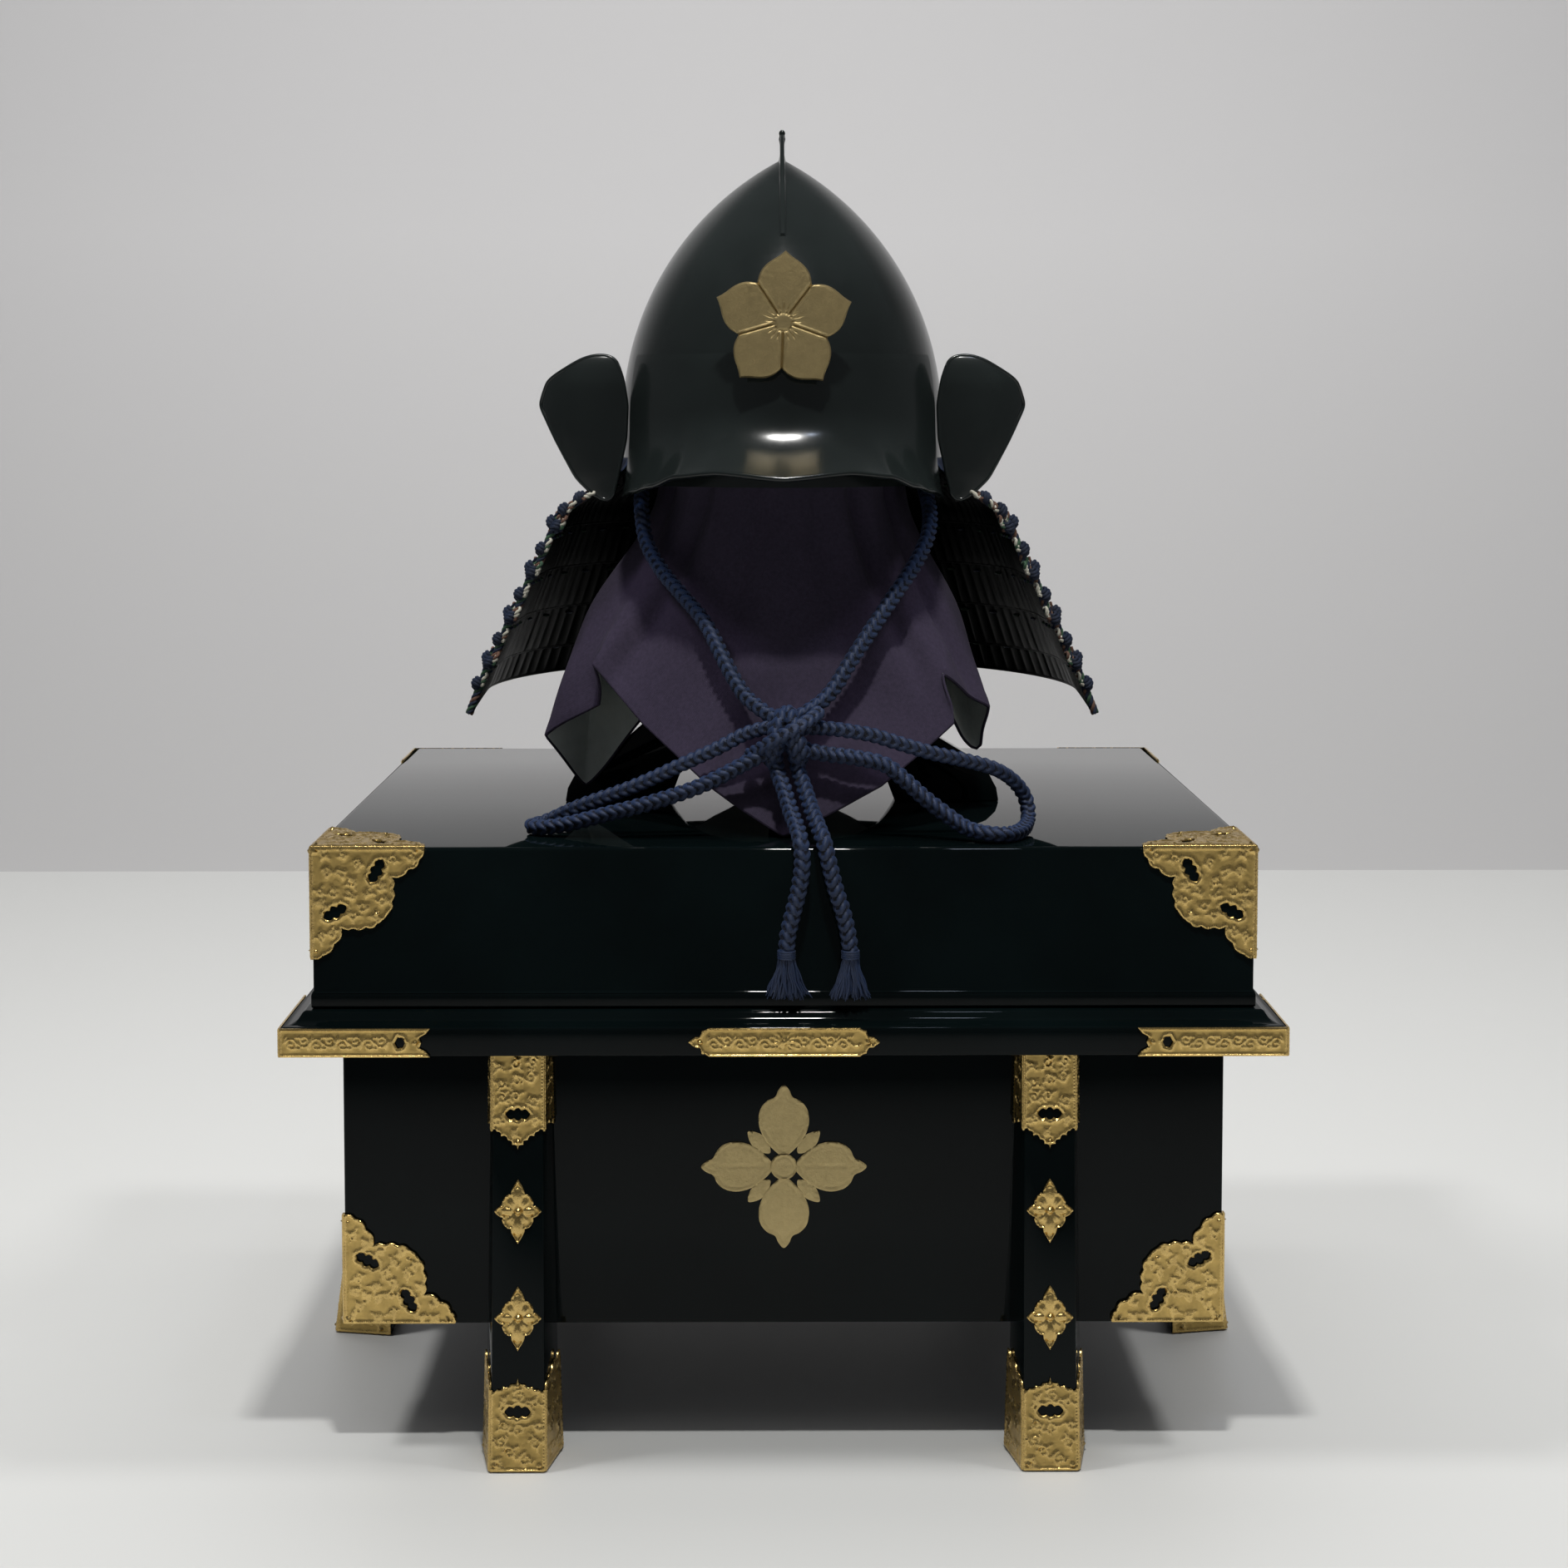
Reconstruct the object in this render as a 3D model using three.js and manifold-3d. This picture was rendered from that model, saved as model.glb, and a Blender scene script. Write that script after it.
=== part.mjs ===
// A samurai helmet with a peach-shaped bowl, resting on a cloth-covered stand, on a lacquered six-legged chest.
// Millimetres, +Z up. The origin is on the floor under the middle of the chest and the front faces -Y.

import * as THREE from 'three';
import { mergeVertices } from 'three/addons/utils/BufferGeometryUtils.js';
import Module from 'manifold-3d';

const wasm = await Module();
wasm.setup();

// Clearances between pieces that touch
const GAP = 0.3;
const FACET_EASE = 0.8; // room for the flats of faceted round pieces that sit in each other

// Chest box
const BOX_WIDTH = 540;
const BOX_DEPTH = 435;
const BOX_WALL = 10;
const BOX_FLOOR = 78; // underside of the box above the ground
const BOX_RIM = 22; // how far the box stands up inside the lid

// Ledge frame round the box
const LEDGE_REACH = 32; // from the box wall to the ledge's outer face
const LEDGE_UNDERSIDE = 252.5;
const LEDGE_FASCIA = 17.7;
const LEDGE_THICK = 25.5;
const LEDGE_COVE = 12; // how far the cove moulding runs in over the fascia

// Lid
const LID_OVERHANG = 15; // lid face beyond the box wall
const LID_HEIGHT = 98;
const LID_WALL = 12;
const LID_TOP_THICK = 12;
const LID_CHAMFER = 1.6;
const LID_BAND = 9; // height of the raised band along the lid's lower edge
const LID_BAND_REACH = 1.4;

// Legs
const LEG_SPACING = 322; // between the middles of the two front legs
const LEG_TOP_WIDTH = 29.6;
const LEG_FOOT_WIDTH = 32.4;
const LEG_BACK_EXTRA = 15; // how much wider the face against the box is
const LEG_TOP_DEPTH = 18;
const LEG_FOOT_DEPTH = 39;
const LEG_WAIST_HEIGHT = 62;
const LEG_WAIST_DEPTH = 31;

// Metal fittings
const METAL = 1.2;
const LID_CORNER = 69;
const BOX_CORNER = 69;
const LEDGE_CORNER = 90;
const LEDGE_PLATE = 115;
const SHOE_HEIGHT = 54;
const SHOE_LIFT = 1;
const CAP_HEIGHT = 58;
const ORNAMENT_SIZE = 104;
const ORNAMENT_THICK = 0.8;
const ORNAMENT_HEIGHT = 176; // middle of the ornament above the ground

// Helmet bowl, measured above the lid
const HELMET_Y = -40; // the bowl's axis in front of the chest's middle
const BOWL_BASE = 215;
const BOWL_HEIGHT = 215.5;
const BOWL_HALF_WIDTH = 107;
const BOWL_HALF_DEPTH = 125;
const BOWL_SHOULDER = 40; // height of the straight wall under the arch
const BOWL_WALL = 3;
const BOWL_TIP_WALL = 5;
const CREASE = 0.42; // how sharp the front and back ridge is at the tip
const CREASE_DROP = 85; // how far down the ridge fades out

// Comb on top of the bowl
const COMB_RISE = 19.5;
const COMB_FRONT = 42;
const COMB_BACK = 50;
const COMB_WIDTH = 3.6;
const COMB_BEAD = 5;
const COMB_FOOT = 26; // how far down the ridge the comb reaches

// Visor
const VISOR_THICK = 2;
const VISOR_SPREAD = 65; // degrees to each side of the front
const VISOR_TOP = 84; // top edge above the bowl's base

// Turned-back wings
const WING_THICK = 2;
const WING_SWEEP = 12;
const WING_BEND = 31; // how far outside the bowl's wall the wing starts to sweep back

// Crest
const CREST_RADIUS = 44;
const CREST_THICK = 2.4;
const CREST_HEIGHT = 318; // middle of the crest above the lid
const CREST_CLEAR = 5; // between the crest's lower petals and the visor
const CREST_STEM = 12;

// Neck guard
const LAME_THICK = 2;
const LAME_STEP = 2.5;
const LAME_FLARE = 0.4;
const GUARD_HALF_WIDTH = 135;
const GUARD_TOP = 210; // height above the lid where the half width is taken
const GUARD_DEEPER = 18; // how much deeper than wide the back is
const GUARD_DROOP = 13;

// Stand
const STAND_HALF_WIDTH = 146;
const STAND_HALF_DEPTH = 100;
const STAND_BOARD = 18;
const STAND_ARCH = 76;
const STAND_ARCH_HEIGHT = 62;
const STAND_SHOULDER = 100;
const STAND_POST = 22;
const HEAD_HALF_WIDTH = 83;
const HEAD_HALF_DEPTH = 97;
const HEAD_BOTTOM = 244;
const HEAD_TOP = 360;
const HEAD_ROUND = 4; // how far the head's top edge is drawn in

// Cloth
const CLOTH = 1.2;

// Chin cord
const CORD = 9.5;
const KNOT_WIDTH = 52;
const KNOT_HEIGHT = 40;
const KNOT_DEPTH = 24;
const TASSEL_WIDTH = 26;
const TASSEL_HEIGHT = 27;
const TASSEL_DEPTH = 10;

// Worked out from the sizes above
const LEDGE_TOP = LEDGE_UNDERSIDE + LEDGE_THICK;
const LID_BOTTOM = LEDGE_TOP + GAP;
const LID_TOP = LID_BOTTOM + LID_HEIGHT;
const BOX_HALF = [BOX_WIDTH / 2, BOX_DEPTH / 2];
const LID_HALF = BOX_HALF.map((half) => half + LID_OVERHANG);
const LEDGE_HALF = BOX_HALF.map((half) => half + LEDGE_REACH);
const BOWL_RIM = LID_TOP + BOWL_BASE;
const BOWL_TIP = BOWL_RIM + BOWL_HEIGHT;

// Finishes
const lacquer = new THREE.MeshStandardMaterial({ color: 0x0b1312, roughness: 0.08, metalness: 0.1 });
const innerLacquer = new THREE.MeshStandardMaterial({ color: 0x0a0f0d, roughness: 0.3, metalness: 0.1 });
const gilt = new THREE.MeshStandardMaterial({ color: 0xb48a3c, roughness: 0.35, metalness: 1 });
const leaf = new THREE.MeshStandardMaterial({ color: 0x8d7848, roughness: 0.5, metalness: 0.9 });
const silk = new THREE.MeshStandardMaterial({ color: 0x1b2a44, roughness: 0.8, metalness: 0 });
const purple = new THREE.MeshStandardMaterial({ color: 0x3e3648, roughness: 0.9, metalness: 0 });

const model = new THREE.Group();

function addPiece(name, geometry, material) {
  const mesh = new THREE.Mesh(geometry, material);
  mesh.name = name;
  model.add(mesh);
}

const lerp = THREE.MathUtils.lerp;
const smooth = THREE.MathUtils.smoothstep;
const radians = THREE.MathUtils.degToRad;

// Mesh building

function meshFrom(points, triangles) {
  const raw = new THREE.BufferGeometry();
  raw.setAttribute('position', new THREE.Float32BufferAttribute(points.flat(), 3));
  raw.setIndex(triangles.flat());
  return facedOut(raw);
}

// Merges shared corners, drops triangles without area and turns the faces outwards.
function facedOut(raw) {
  const bare = new THREE.BufferGeometry();
  bare.setAttribute('position', raw.getAttribute('position').clone());
  bare.setIndex(raw.index ? raw.index.clone() : null);
  const merged = mergeVertices(bare, 1e-4);
  const place = merged.getAttribute('position');
  const corner = (i) => new THREE.Vector3().fromBufferAttribute(place, i);
  const kept = [];
  let volume = 0;
  for (let i = 0; i < merged.index.count; i += 3) {
    const [a, b, c] = [0, 1, 2].map((k) => merged.index.getX(i + k));
    if (a === b || b === c || a === c) continue;
    kept.push([a, b, c]);
    volume += corner(a).dot(corner(b).cross(corner(c)));
  }
  merged.setIndex((volume > 0 ? kept : kept.map(([a, b, c]) => [a, c, b])).flat());
  return merged;
}

function toSolid(geometry) {
  const clean = facedOut(geometry);
  return new wasm.Manifold(new wasm.Mesh({
    numProp: 3,
    vertProperties: new Float32Array(clean.getAttribute('position').array),
    triVerts: new Uint32Array(clean.index.array),
  }));
}

function toGeometry(solid) {
  const mesh = solid.getMesh();
  const geometry = new THREE.BufferGeometry();
  geometry.setAttribute('position', new THREE.Float32BufferAttribute(mesh.vertProperties, 3));
  geometry.setIndex([...mesh.triVerts]);
  return geometry;
}

function joined(geometries) {
  return toGeometry(geometries.map(toSolid).reduce((all, next) => all.add(next)));
}

function cutBy(geometry, cutters) {
  return toGeometry(cutters.map(toSolid).reduce((rest, cutter) => rest.subtract(cutter), toSolid(geometry)));
}

// A solid through rings of points. Open ends are capped.
function loft(rings, ringsClose = false) {
  const size = rings[0].length;
  const triangles = [];
  const spans = ringsClose ? rings.length : rings.length - 1;
  for (let r = 0; r < spans; r += 1) {
    const next = (r + 1) % rings.length;
    for (let i = 0; i < size; i += 1) {
      const j = (i + 1) % size;
      const [a, b, c, d] = [r * size + i, r * size + j, next * size + j, next * size + i];
      triangles.push([a, b, c], [a, c, d]);
    }
  }
  if (!ringsClose) {
    triangles.push(...capOf(rings[0]).map(([a, b, c]) => [a, c, b]));
    triangles.push(...capOf(rings.at(-1)).map((cap) => cap.map((i) => i + (rings.length - 1) * size)));
  }
  return meshFrom(rings.flat(), triangles);
}

// Triangles over a flat ring, seen along the axis that it faces most.
function capOf(ring) {
  const normal = new THREE.Vector3();
  ring.forEach((point, i) => {
    const here = new THREE.Vector3(...point);
    normal.add(here.cross(new THREE.Vector3(...ring[(i + 1) % ring.length])));
  });
  const sizes = normal.toArray().map(Math.abs);
  const drop = sizes.indexOf(Math.max(...sizes));
  const flat = ring.map((point) => new THREE.Vector2(...point.filter((_, k) => k !== drop)));
  const caps = THREE.ShapeUtils.triangulateShape(flat, []);
  const facing = caps.reduce((sum, [a, b, c]) => {
    const [p, q, s] = [a, b, c].map((i) => new THREE.Vector3(...ring[i]));
    return sum + q.clone().sub(p).cross(s.sub(p)).dot(normal);
  }, 0);
  return facing > 0 ? caps : caps.map(([a, b, c]) => [a, c, b]);
}

// A sheet between an outer and an inner surface, each a function of two shares from 0 to 1.
function thickSheet(outer, inner, across, down, wraps = false) {
  const columns = wraps ? across : across + 1;
  const points = [];
  for (const surface of [outer, inner]) {
    for (let v = 0; v <= down; v += 1) {
      for (let u = 0; u < columns; u += 1) points.push(surface(u / across, v / down));
    }
  }
  const layer = columns * (down + 1);
  const at = (side, u, v) => side * layer + v * columns + (u % columns);
  const triangles = [];
  const quad = (a, b, c, d) => triangles.push([a, b, c], [a, c, d]);
  for (let v = 0; v < down; v += 1) {
    for (let u = 0; u < across; u += 1) {
      quad(at(0, u, v), at(0, u + 1, v), at(0, u + 1, v + 1), at(0, u, v + 1));
      quad(at(1, u, v), at(1, u, v + 1), at(1, u + 1, v + 1), at(1, u + 1, v));
    }
  }
  for (let u = 0; u < across; u += 1) {
    quad(at(0, u, 0), at(1, u, 0), at(1, u + 1, 0), at(0, u + 1, 0));
    quad(at(0, u, down), at(0, u + 1, down), at(1, u + 1, down), at(1, u, down));
  }
  for (let v = 0; v < down && !wraps; v += 1) {
    quad(at(0, 0, v), at(0, 0, v + 1), at(1, 0, v + 1), at(1, 0, v));
    quad(at(0, across, v), at(1, across, v), at(1, across, v + 1), at(0, across, v + 1));
  }
  return meshFrom(points, triangles);
}

// The surface moved out along its own normal by a distance.
function movedOut(surface, distance, towards) {
  const step = 1e-3;
  return (u, v) => {
    const here = new THREE.Vector3(...surface(u, v));
    const [u0, u1] = [Math.max(0, u - step), Math.min(1, u + step)];
    const [v0, v1] = [Math.max(0, v - step), Math.min(1, v + step)];
    const along = new THREE.Vector3(...surface(u1, v)).sub(new THREE.Vector3(...surface(u0, v)));
    const downward = new THREE.Vector3(...surface(u, v1)).sub(new THREE.Vector3(...surface(u, v0)));
    const normal = along.cross(downward).normalize();
    if (normal.dot(towards(here)) < 0) normal.negate();
    return here.addScaledVector(normal, distance).toArray();
  };
}

const fromAxis = (point) => new THREE.Vector3(point.x, point.y - HELMET_Y, 0);

function extruded(outline, holes, thickness) {
  const shape = new THREE.Shape(outline.map(([x, y]) => new THREE.Vector2(x, y)));
  shape.holes = holes.map((hole) => new THREE.Path(hole.map(([x, y]) => new THREE.Vector2(x, y))));
  return new THREE.ExtrudeGeometry(shape, { depth: thickness, bevelEnabled: false });
}

// Lays a flat solid with its x, y and z along three directions from a corner.
function laid(geometry, origin, x, y, z) {
  const frame = new THREE.Matrix4().makeBasis(...[x, y, z].map((axis) => new THREE.Vector3(...axis)));
  return facedOut(geometry.clone().applyMatrix4(frame.setPosition(...origin)));
}

const mirrored = (geometry, x, y) => facedOut(geometry.clone().applyMatrix4(new THREE.Matrix4().makeScale(x, y, 1)));

function placedRound(geometry, turn) {
  return facedOut(geometry.clone().applyMatrix4(new THREE.Matrix4().makeRotationZ(turn)));
}

// Chest

const rectangle = ([x, y], z) => [[-x, -y, z], [x, -y, z], [x, y, z], [-x, y, z]];
const grown = (half, by) => half.map((size) => size + by);

function chestBox() {
  const inside = grown(BOX_HALF, -BOX_WALL);
  const rim = LID_BOTTOM + BOX_RIM;
  return loft([
    rectangle(inside, BOX_FLOOR + BOX_WALL),
    rectangle(inside, rim),
    rectangle(BOX_HALF, rim),
    rectangle(BOX_HALF, BOX_FLOOR),
  ]);
}

function chestLedge() {
  const inside = grown(BOX_HALF, GAP);
  const fasciaTop = LEDGE_UNDERSIDE + LEDGE_FASCIA;
  const cove = [0, 0.35, 0.7, 1].map((share) => rectangle(
    grown(LEDGE_HALF, -LEDGE_COVE * share),
    lerp(fasciaTop, LEDGE_TOP, 1 - Math.sqrt(1 - share * share)),
  ));
  return loft([
    rectangle(inside, LEDGE_TOP),
    rectangle(inside, LEDGE_UNDERSIDE),
    rectangle(LEDGE_HALF, LEDGE_UNDERSIDE),
    ...cove,
  ], true);
}

function chestLid() {
  const inside = grown(LID_HALF, -LID_WALL);
  const band = grown(LID_HALF, LID_BAND_REACH);
  return loft([
    rectangle(inside, LID_TOP - LID_TOP_THICK),
    rectangle(inside, LID_BOTTOM),
    rectangle(band, LID_BOTTOM),
    rectangle(band, LID_BOTTOM + LID_BAND),
    rectangle(LID_HALF, LID_BOTTOM + LID_BAND + LID_BAND_REACH),
    rectangle(LID_HALF, LID_TOP - LID_CHAMFER),
    rectangle(grown(LID_HALF, -LID_CHAMFER), LID_TOP),
  ]);
}

// A leg stands against a wall in the plane y = 0 and leans out along -Y.
const LEG_HEIGHT = LEDGE_UNDERSIDE - GAP;

function legSection(height) {
  const width = lerp(LEG_FOOT_WIDTH, LEG_TOP_WIDTH, height / LEG_HEIGHT);
  const depth = height < LEG_WAIST_HEIGHT
    ? lerp(LEG_FOOT_DEPTH, LEG_WAIST_DEPTH, height / LEG_WAIST_HEIGHT)
    : lerp(LEG_WAIST_DEPTH, LEG_TOP_DEPTH, (height - LEG_WAIST_HEIGHT) / (LEG_HEIGHT - LEG_WAIST_HEIGHT));
  return { front: width / 2, back: (width + LEG_BACK_EXTRA * depth / LEG_FOOT_DEPTH) / 2, depth };
}

function leg() {
  return loft([0, LEG_WAIST_HEIGHT, LEG_HEIGHT].map((height) => {
    const { front, back, depth } = legSection(height);
    return [[-back, 0, height], [-front, -depth, height], [front, -depth, height], [back, 0, height]];
  }));
}

// Sheet metal round the front and both sides of a leg, with its own height at each fold.
function sleeve(levels) {
  const rings = levels.map(({ side, corner, middle }) => {
    const ring = (outset) => {
      const at = (height, x, y) => {
        const { front, back, depth } = legSection(height);
        const across = x === 0 ? 0 : Math.sign(x) * ((Math.abs(x) === 1 ? front : back) + outset);
        return [across, y ? -depth - outset : -2, height];
      };
      return [at(side, -2, 0), at(corner, -1, 1), at(middle, 0, 1), at(corner, 1, 1), at(side, 2, 0)];
    };
    return [...ring(GAP + METAL), ...ring(GAP).reverse()];
  });
  return loft(rings);
}

// Cloud-shaped piercing of three round lobes in a row
function cloud(cx, cy, length, tilt) {
  const lobe = length / 5;
  const points = [];
  for (let i = 0; i < 8; i += 1) {
    const angle = radians(45 * i);
    const bulge = i % 2 === 0 ? 1 : 0.92;
    points.push([Math.cos(angle) * bulge * length / 2, Math.sin(angle) * lobe * 1.4]);
  }
  const [c, s] = [Math.cos(radians(tilt)), Math.sin(radians(tilt))];
  return points.map(([x, y]) => [cx + x * c - y * s, cy + x * s + y * c]);
}

function shoe() {
  const sides = SHOE_HEIGHT * 1.15;
  const corners = SHOE_HEIGHT * 0.9;
  const body = sleeve([
    { side: SHOE_LIFT, corner: SHOE_LIFT, middle: SHOE_LIFT },
    { side: sides, corner: corners, middle: SHOE_HEIGHT },
  ]);
  const piercing = extruded(cloud(0, SHOE_HEIGHT * 0.66, LEG_FOOT_WIDTH * 0.5, 0), [], LEG_FOOT_DEPTH);
  return cutBy(body, [laid(piercing, [0, -LEG_FOOT_DEPTH / 2, 0], [1, 0, 0], [0, 0, 1], [0, -1, 0])]);
}

function legCap() {
  const top = LEG_HEIGHT - GAP;
  const level = top - CAP_HEIGHT;
  const body = sleeve([
    { side: top, corner: top, middle: top },
    { side: level + CAP_HEIGHT * 0.16, corner: level + CAP_HEIGHT * 0.2, middle: level },
  ]);
  const piercing = extruded(cloud(0, level + CAP_HEIGHT * 0.36, LEG_TOP_WIDTH * 0.52, 0), [], LEG_FOOT_DEPTH);
  return cutBy(body, [laid(piercing, [0, -LEG_TOP_DEPTH / 2, 0], [1, 0, 0], [0, 0, 1], [0, -1, 0])]);
}

// Each leg's place: the point of the wall behind it and its turn about Z
const legPlaces = [
  ['front_left', -LEG_SPACING / 2, -BOX_HALF[1], 0],
  ['front_right', LEG_SPACING / 2, -BOX_HALF[1], 0],
  ['back_left', -LEG_SPACING / 2, BOX_HALF[1], 180],
  ['back_right', LEG_SPACING / 2, BOX_HALF[1], 180],
  ['side_left', -BOX_HALF[0], 0, -90],
  ['side_right', BOX_HALF[0], 0, 90],
];

function atLeg(geometry, [, x, y, turn]) {
  const away = new THREE.Vector3(0, -GAP, 0).applyAxisAngle(new THREE.Vector3(0, 0, 1), radians(turn));
  return placedRound(geometry, radians(turn)).translate(x + away.x, y + away.y, 0);
}

// Corner fittings

// Half of the scalloped edge of a corner plate, as shares of its size, from its tip to its diagonal
const SCALLOPS = [
  { along: 1, across: 0 },
  { along: 0.84, across: 0.1 },
  { along: 0.79, across: 0.22 },
  { along: 0.68, across: 0.25 },
  { along: 0.65, across: 0.38 },
  { along: 0.53, across: 0.41 },
];

function cornerPlate(size) {
  const edge = SCALLOPS.map(({ along, across }) => [along * size, across * size]);
  const back = edge.map(([x, y]) => [y, x]).reverse();
  const outline = [[0, 0], ...edge, [size * 0.51, size * 0.51], ...back];
  const holes = [cloud(size * 0.56, size * 0.22, size * 0.25, 65), cloud(size * 0.22, size * 0.56, size * 0.25, 25)];
  return extruded(outline, holes, METAL);
}

function stripPlate(length, height) {
  const outline = [[0, 0], [length, 0], [length * 0.93, height / 2], [length, height], [0, height]];
  const heart = [[0.76, 0.5], [0.79, 0.66], [0.82, 0.6], [0.85, 0.5], [0.82, 0.4], [0.79, 0.34]];
  return extruded(outline, [heart.map(([x, y]) => [x * length, y * height])], METAL);
}

// The same plate on each face that meets at an outer corner, joined along the folds
function foldedCorner(plate, half, z, rise, withTop) {
  const out = GAP + METAL;
  const [x, y] = grown(half, out);
  const level = withTop ? z - rise * out : z;
  const faces = [
    laid(plate, [x, y - METAL, level], [-1, 0, 0], [0, 0, rise], [0, 1, 0]),
    laid(plate, [x - METAL, y, level], [0, -1, 0], [0, 0, rise], [1, 0, 0]),
  ];
  if (withTop) faces.push(laid(plate, [x, y, level - METAL], [-1, 0, 0], [0, -1, 0], [0, 0, 1]));
  return joined(faces);
}

const cornerPlaces = [['front_left', -1, -1], ['front_right', 1, -1], ['back_left', -1, 1], ['back_right', 1, 1]];

function ledgePlate() {
  const [length, height] = [LEDGE_PLATE / 2, LEDGE_FASCIA / 2 - GAP];
  const quarter = [[1, 0], [0.95, 0.35], [0.88, 0.4], [0.86, 0.85], [0.8, 1]];
  const outline = [
    ...quarter,
    ...quarter.map(([x, y]) => [-x, y]).reverse().slice(0, -1),
    ...quarter.map(([x, y]) => [-x, -y]),
    ...quarter.slice(1).map(([x, y]) => [x, -y]).reverse(),
  ].map(([x, y]) => [x * length, y * height]);
  return extruded(outline, [], METAL);
}

// Four pointed petals on a diamond, in the place of the mark on the front
function frontOrnament() {
  const points = [];
  for (let i = 0; i < 32; i += 1) {
    const angle = radians(i * 360 / 32);
    const lobe = 0.62 + 0.38 * Math.abs(Math.cos(2 * angle));
    points.push([Math.cos(angle) * lobe * ORNAMENT_SIZE / 2, Math.sin(angle) * lobe * ORNAMENT_SIZE / 2]);
  }
  return extruded(points, [], ORNAMENT_THICK);
}

// Helmet bowl

const ARCH = BOWL_HEIGHT - BOWL_SHOULDER;
const ARCH_RADIUS = (ARCH ** 2 + BOWL_HALF_WIDTH ** 2) / (2 * BOWL_HALF_WIDTH);

// Half width of the bowl at a height above its rim: a pointed arch on a short straight wall
function bowlHalfWidth(height) {
  const above = THREE.MathUtils.clamp(height - BOWL_SHOULDER, 0, ARCH);
  return Math.max(0, BOWL_HALF_WIDTH - ARCH_RADIUS + Math.sqrt(ARCH_RADIUS ** 2 - above ** 2));
}

// Half width inside the bowl, whose wall thickens towards the tip
function bowlInside(height) {
  return bowlHalfWidth(height * BOWL_HEIGHT / (BOWL_HEIGHT - BOWL_TIP_WALL)) - BOWL_WALL;
}

const DEPTH_SHARE = BOWL_HALF_DEPTH / BOWL_HALF_WIDTH;

// A point of the bowl at a turn from the front, in radians, and a height above the rim
function bowlPoint(turn, height, outset = 0) {
  const half = bowlHalfWidth(height);
  const sharp = CREASE * smooth(height, BOWL_HEIGHT - CREASE_DROP, BOWL_HEIGHT);
  const wrapped = Math.atan2(Math.sin(turn), Math.cos(turn));
  const ramp = 1 - 2 * Math.abs(wrapped) / Math.PI;
  const ahead = lerp(Math.cos(turn), ramp, sharp);
  return [
    Math.sin(turn) * (half + outset),
    HELMET_Y - ahead * (half * DEPTH_SHARE + outset),
    BOWL_RIM + height,
  ];
}

function bowl() {
  const heightAt = (share) => BOWL_HEIGHT * (1 - (1 - share) ** 1.25);
  const outer = (u, v) => bowlPoint(u * Math.PI * 2, heightAt(v));
  const inner = (u, v) => {
    const height = heightAt(v) * (BOWL_HEIGHT - BOWL_TIP_WALL) / BOWL_HEIGHT;
    const half = bowlHalfWidth(heightAt(v));
    return v === 1 ? [0, HELMET_Y, BOWL_RIM + height] : bowlPointScaled(u, heightAt(v), height, half);
  };
  return thickSheet(outer, inner, 32, 9, true);
}

// A point of the inside of the bowl, a wall's thickness in from the outside
function bowlPointScaled(u, outerHeight, height, half) {
  const [x, y] = bowlPoint(u * Math.PI * 2, outerHeight);
  const share = Math.max(0, half - BOWL_WALL) / half;
  return [x * share, HELMET_Y + (y - HELMET_Y) * share, BOWL_RIM + height];
}

function comb() {
  const ridge = (ahead) => {
    return heightWhereHalfDepth(Math.abs(ahead)) + GAP;
  };
  const steps = 6;
  const lower = [];
  for (let i = -steps; i <= steps; i += 1) {
    const ahead = i < 0 ? COMB_FRONT * i / steps : COMB_BACK * i / steps;
    lower.push([ahead, ridge(ahead)]);
  }
  const tip = BOWL_HEIGHT + COMB_RISE;
  const rise = (share) => share ** 2.2;
  const upper = [];
  for (let i = steps - 1; i > -steps; i -= 1) {
    const share = 1 - Math.abs(i) / steps;
    const base = ridge(i < 0 ? COMB_FRONT * i / steps : COMB_BACK * i / steps);
    upper.push([i < 0 ? COMB_FRONT * i / steps : COMB_BACK * i / steps, lerp(base + 1.5, tip, rise(share))]);
  }
  const blade = extruded([...lower, ...upper], [], COMB_WIDTH);
  return laid(blade, [-COMB_WIDTH / 2, HELMET_Y, BOWL_RIM], [0, 1, 0], [0, 0, 1], [1, 0, 0]);
}

// Height above the rim at which the bowl's front reaches a distance from its axis
function heightWhereHalfDepth(distance) {
  const half = distance / DEPTH_SHARE;
  const inward = ARCH_RADIUS - BOWL_HALF_WIDTH + half;
  return BOWL_SHOULDER + Math.sqrt(Math.max(0, ARCH_RADIUS ** 2 - inward ** 2));
}

// Visor: follows the bowl from its top edge, then flares out to the rim. Shares run from the front to a corner.
const VISOR_RIM = [
  { share: 0, reach: 35, height: 5.6 },
  { share: 0.45, reach: 31, height: 8 },
  { share: 0.6, reach: 26, height: 5 },
  { share: 0.78, reach: 17, height: -1 },
  { share: 1, reach: 5, height: -7.5 },
];

function fromTable(table, key, share) {
  const next = Math.max(1, table.findIndex((row) => row.share >= share));
  const [a, b] = [table[next - 1], table[next]];
  return lerp(a[key], b[key], smoothShare((share - a.share) / (b.share - a.share)));
}

const smoothShare = (share) => share * share * (3 - 2 * share) * 0.5 + share * 0.5;

function visorPoint(outset) {
  return (u, v) => {
    const side = 2 * u - 1;
    const turn = radians(VISOR_SPREAD * side);
    const rim = fromTable(VISOR_RIM, 'height', Math.abs(side));
    const height = lerp(VISOR_TOP, rim, v);
    const flare = v < 0.45 ? 0 : ((v - 0.45) / 0.55) ** 2;
    const reach = fromTable(VISOR_RIM, 'reach', Math.abs(side)) * flare;
    return bowlPoint(turn, height, GAP + FACET_EASE / 2 + reach + outset);
  };
}

function visor() {
  const inner = visorPoint(0);
  return thickSheet(movedOut(inner, VISOR_THICK, fromAxis), inner, 14, 7);
}

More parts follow.
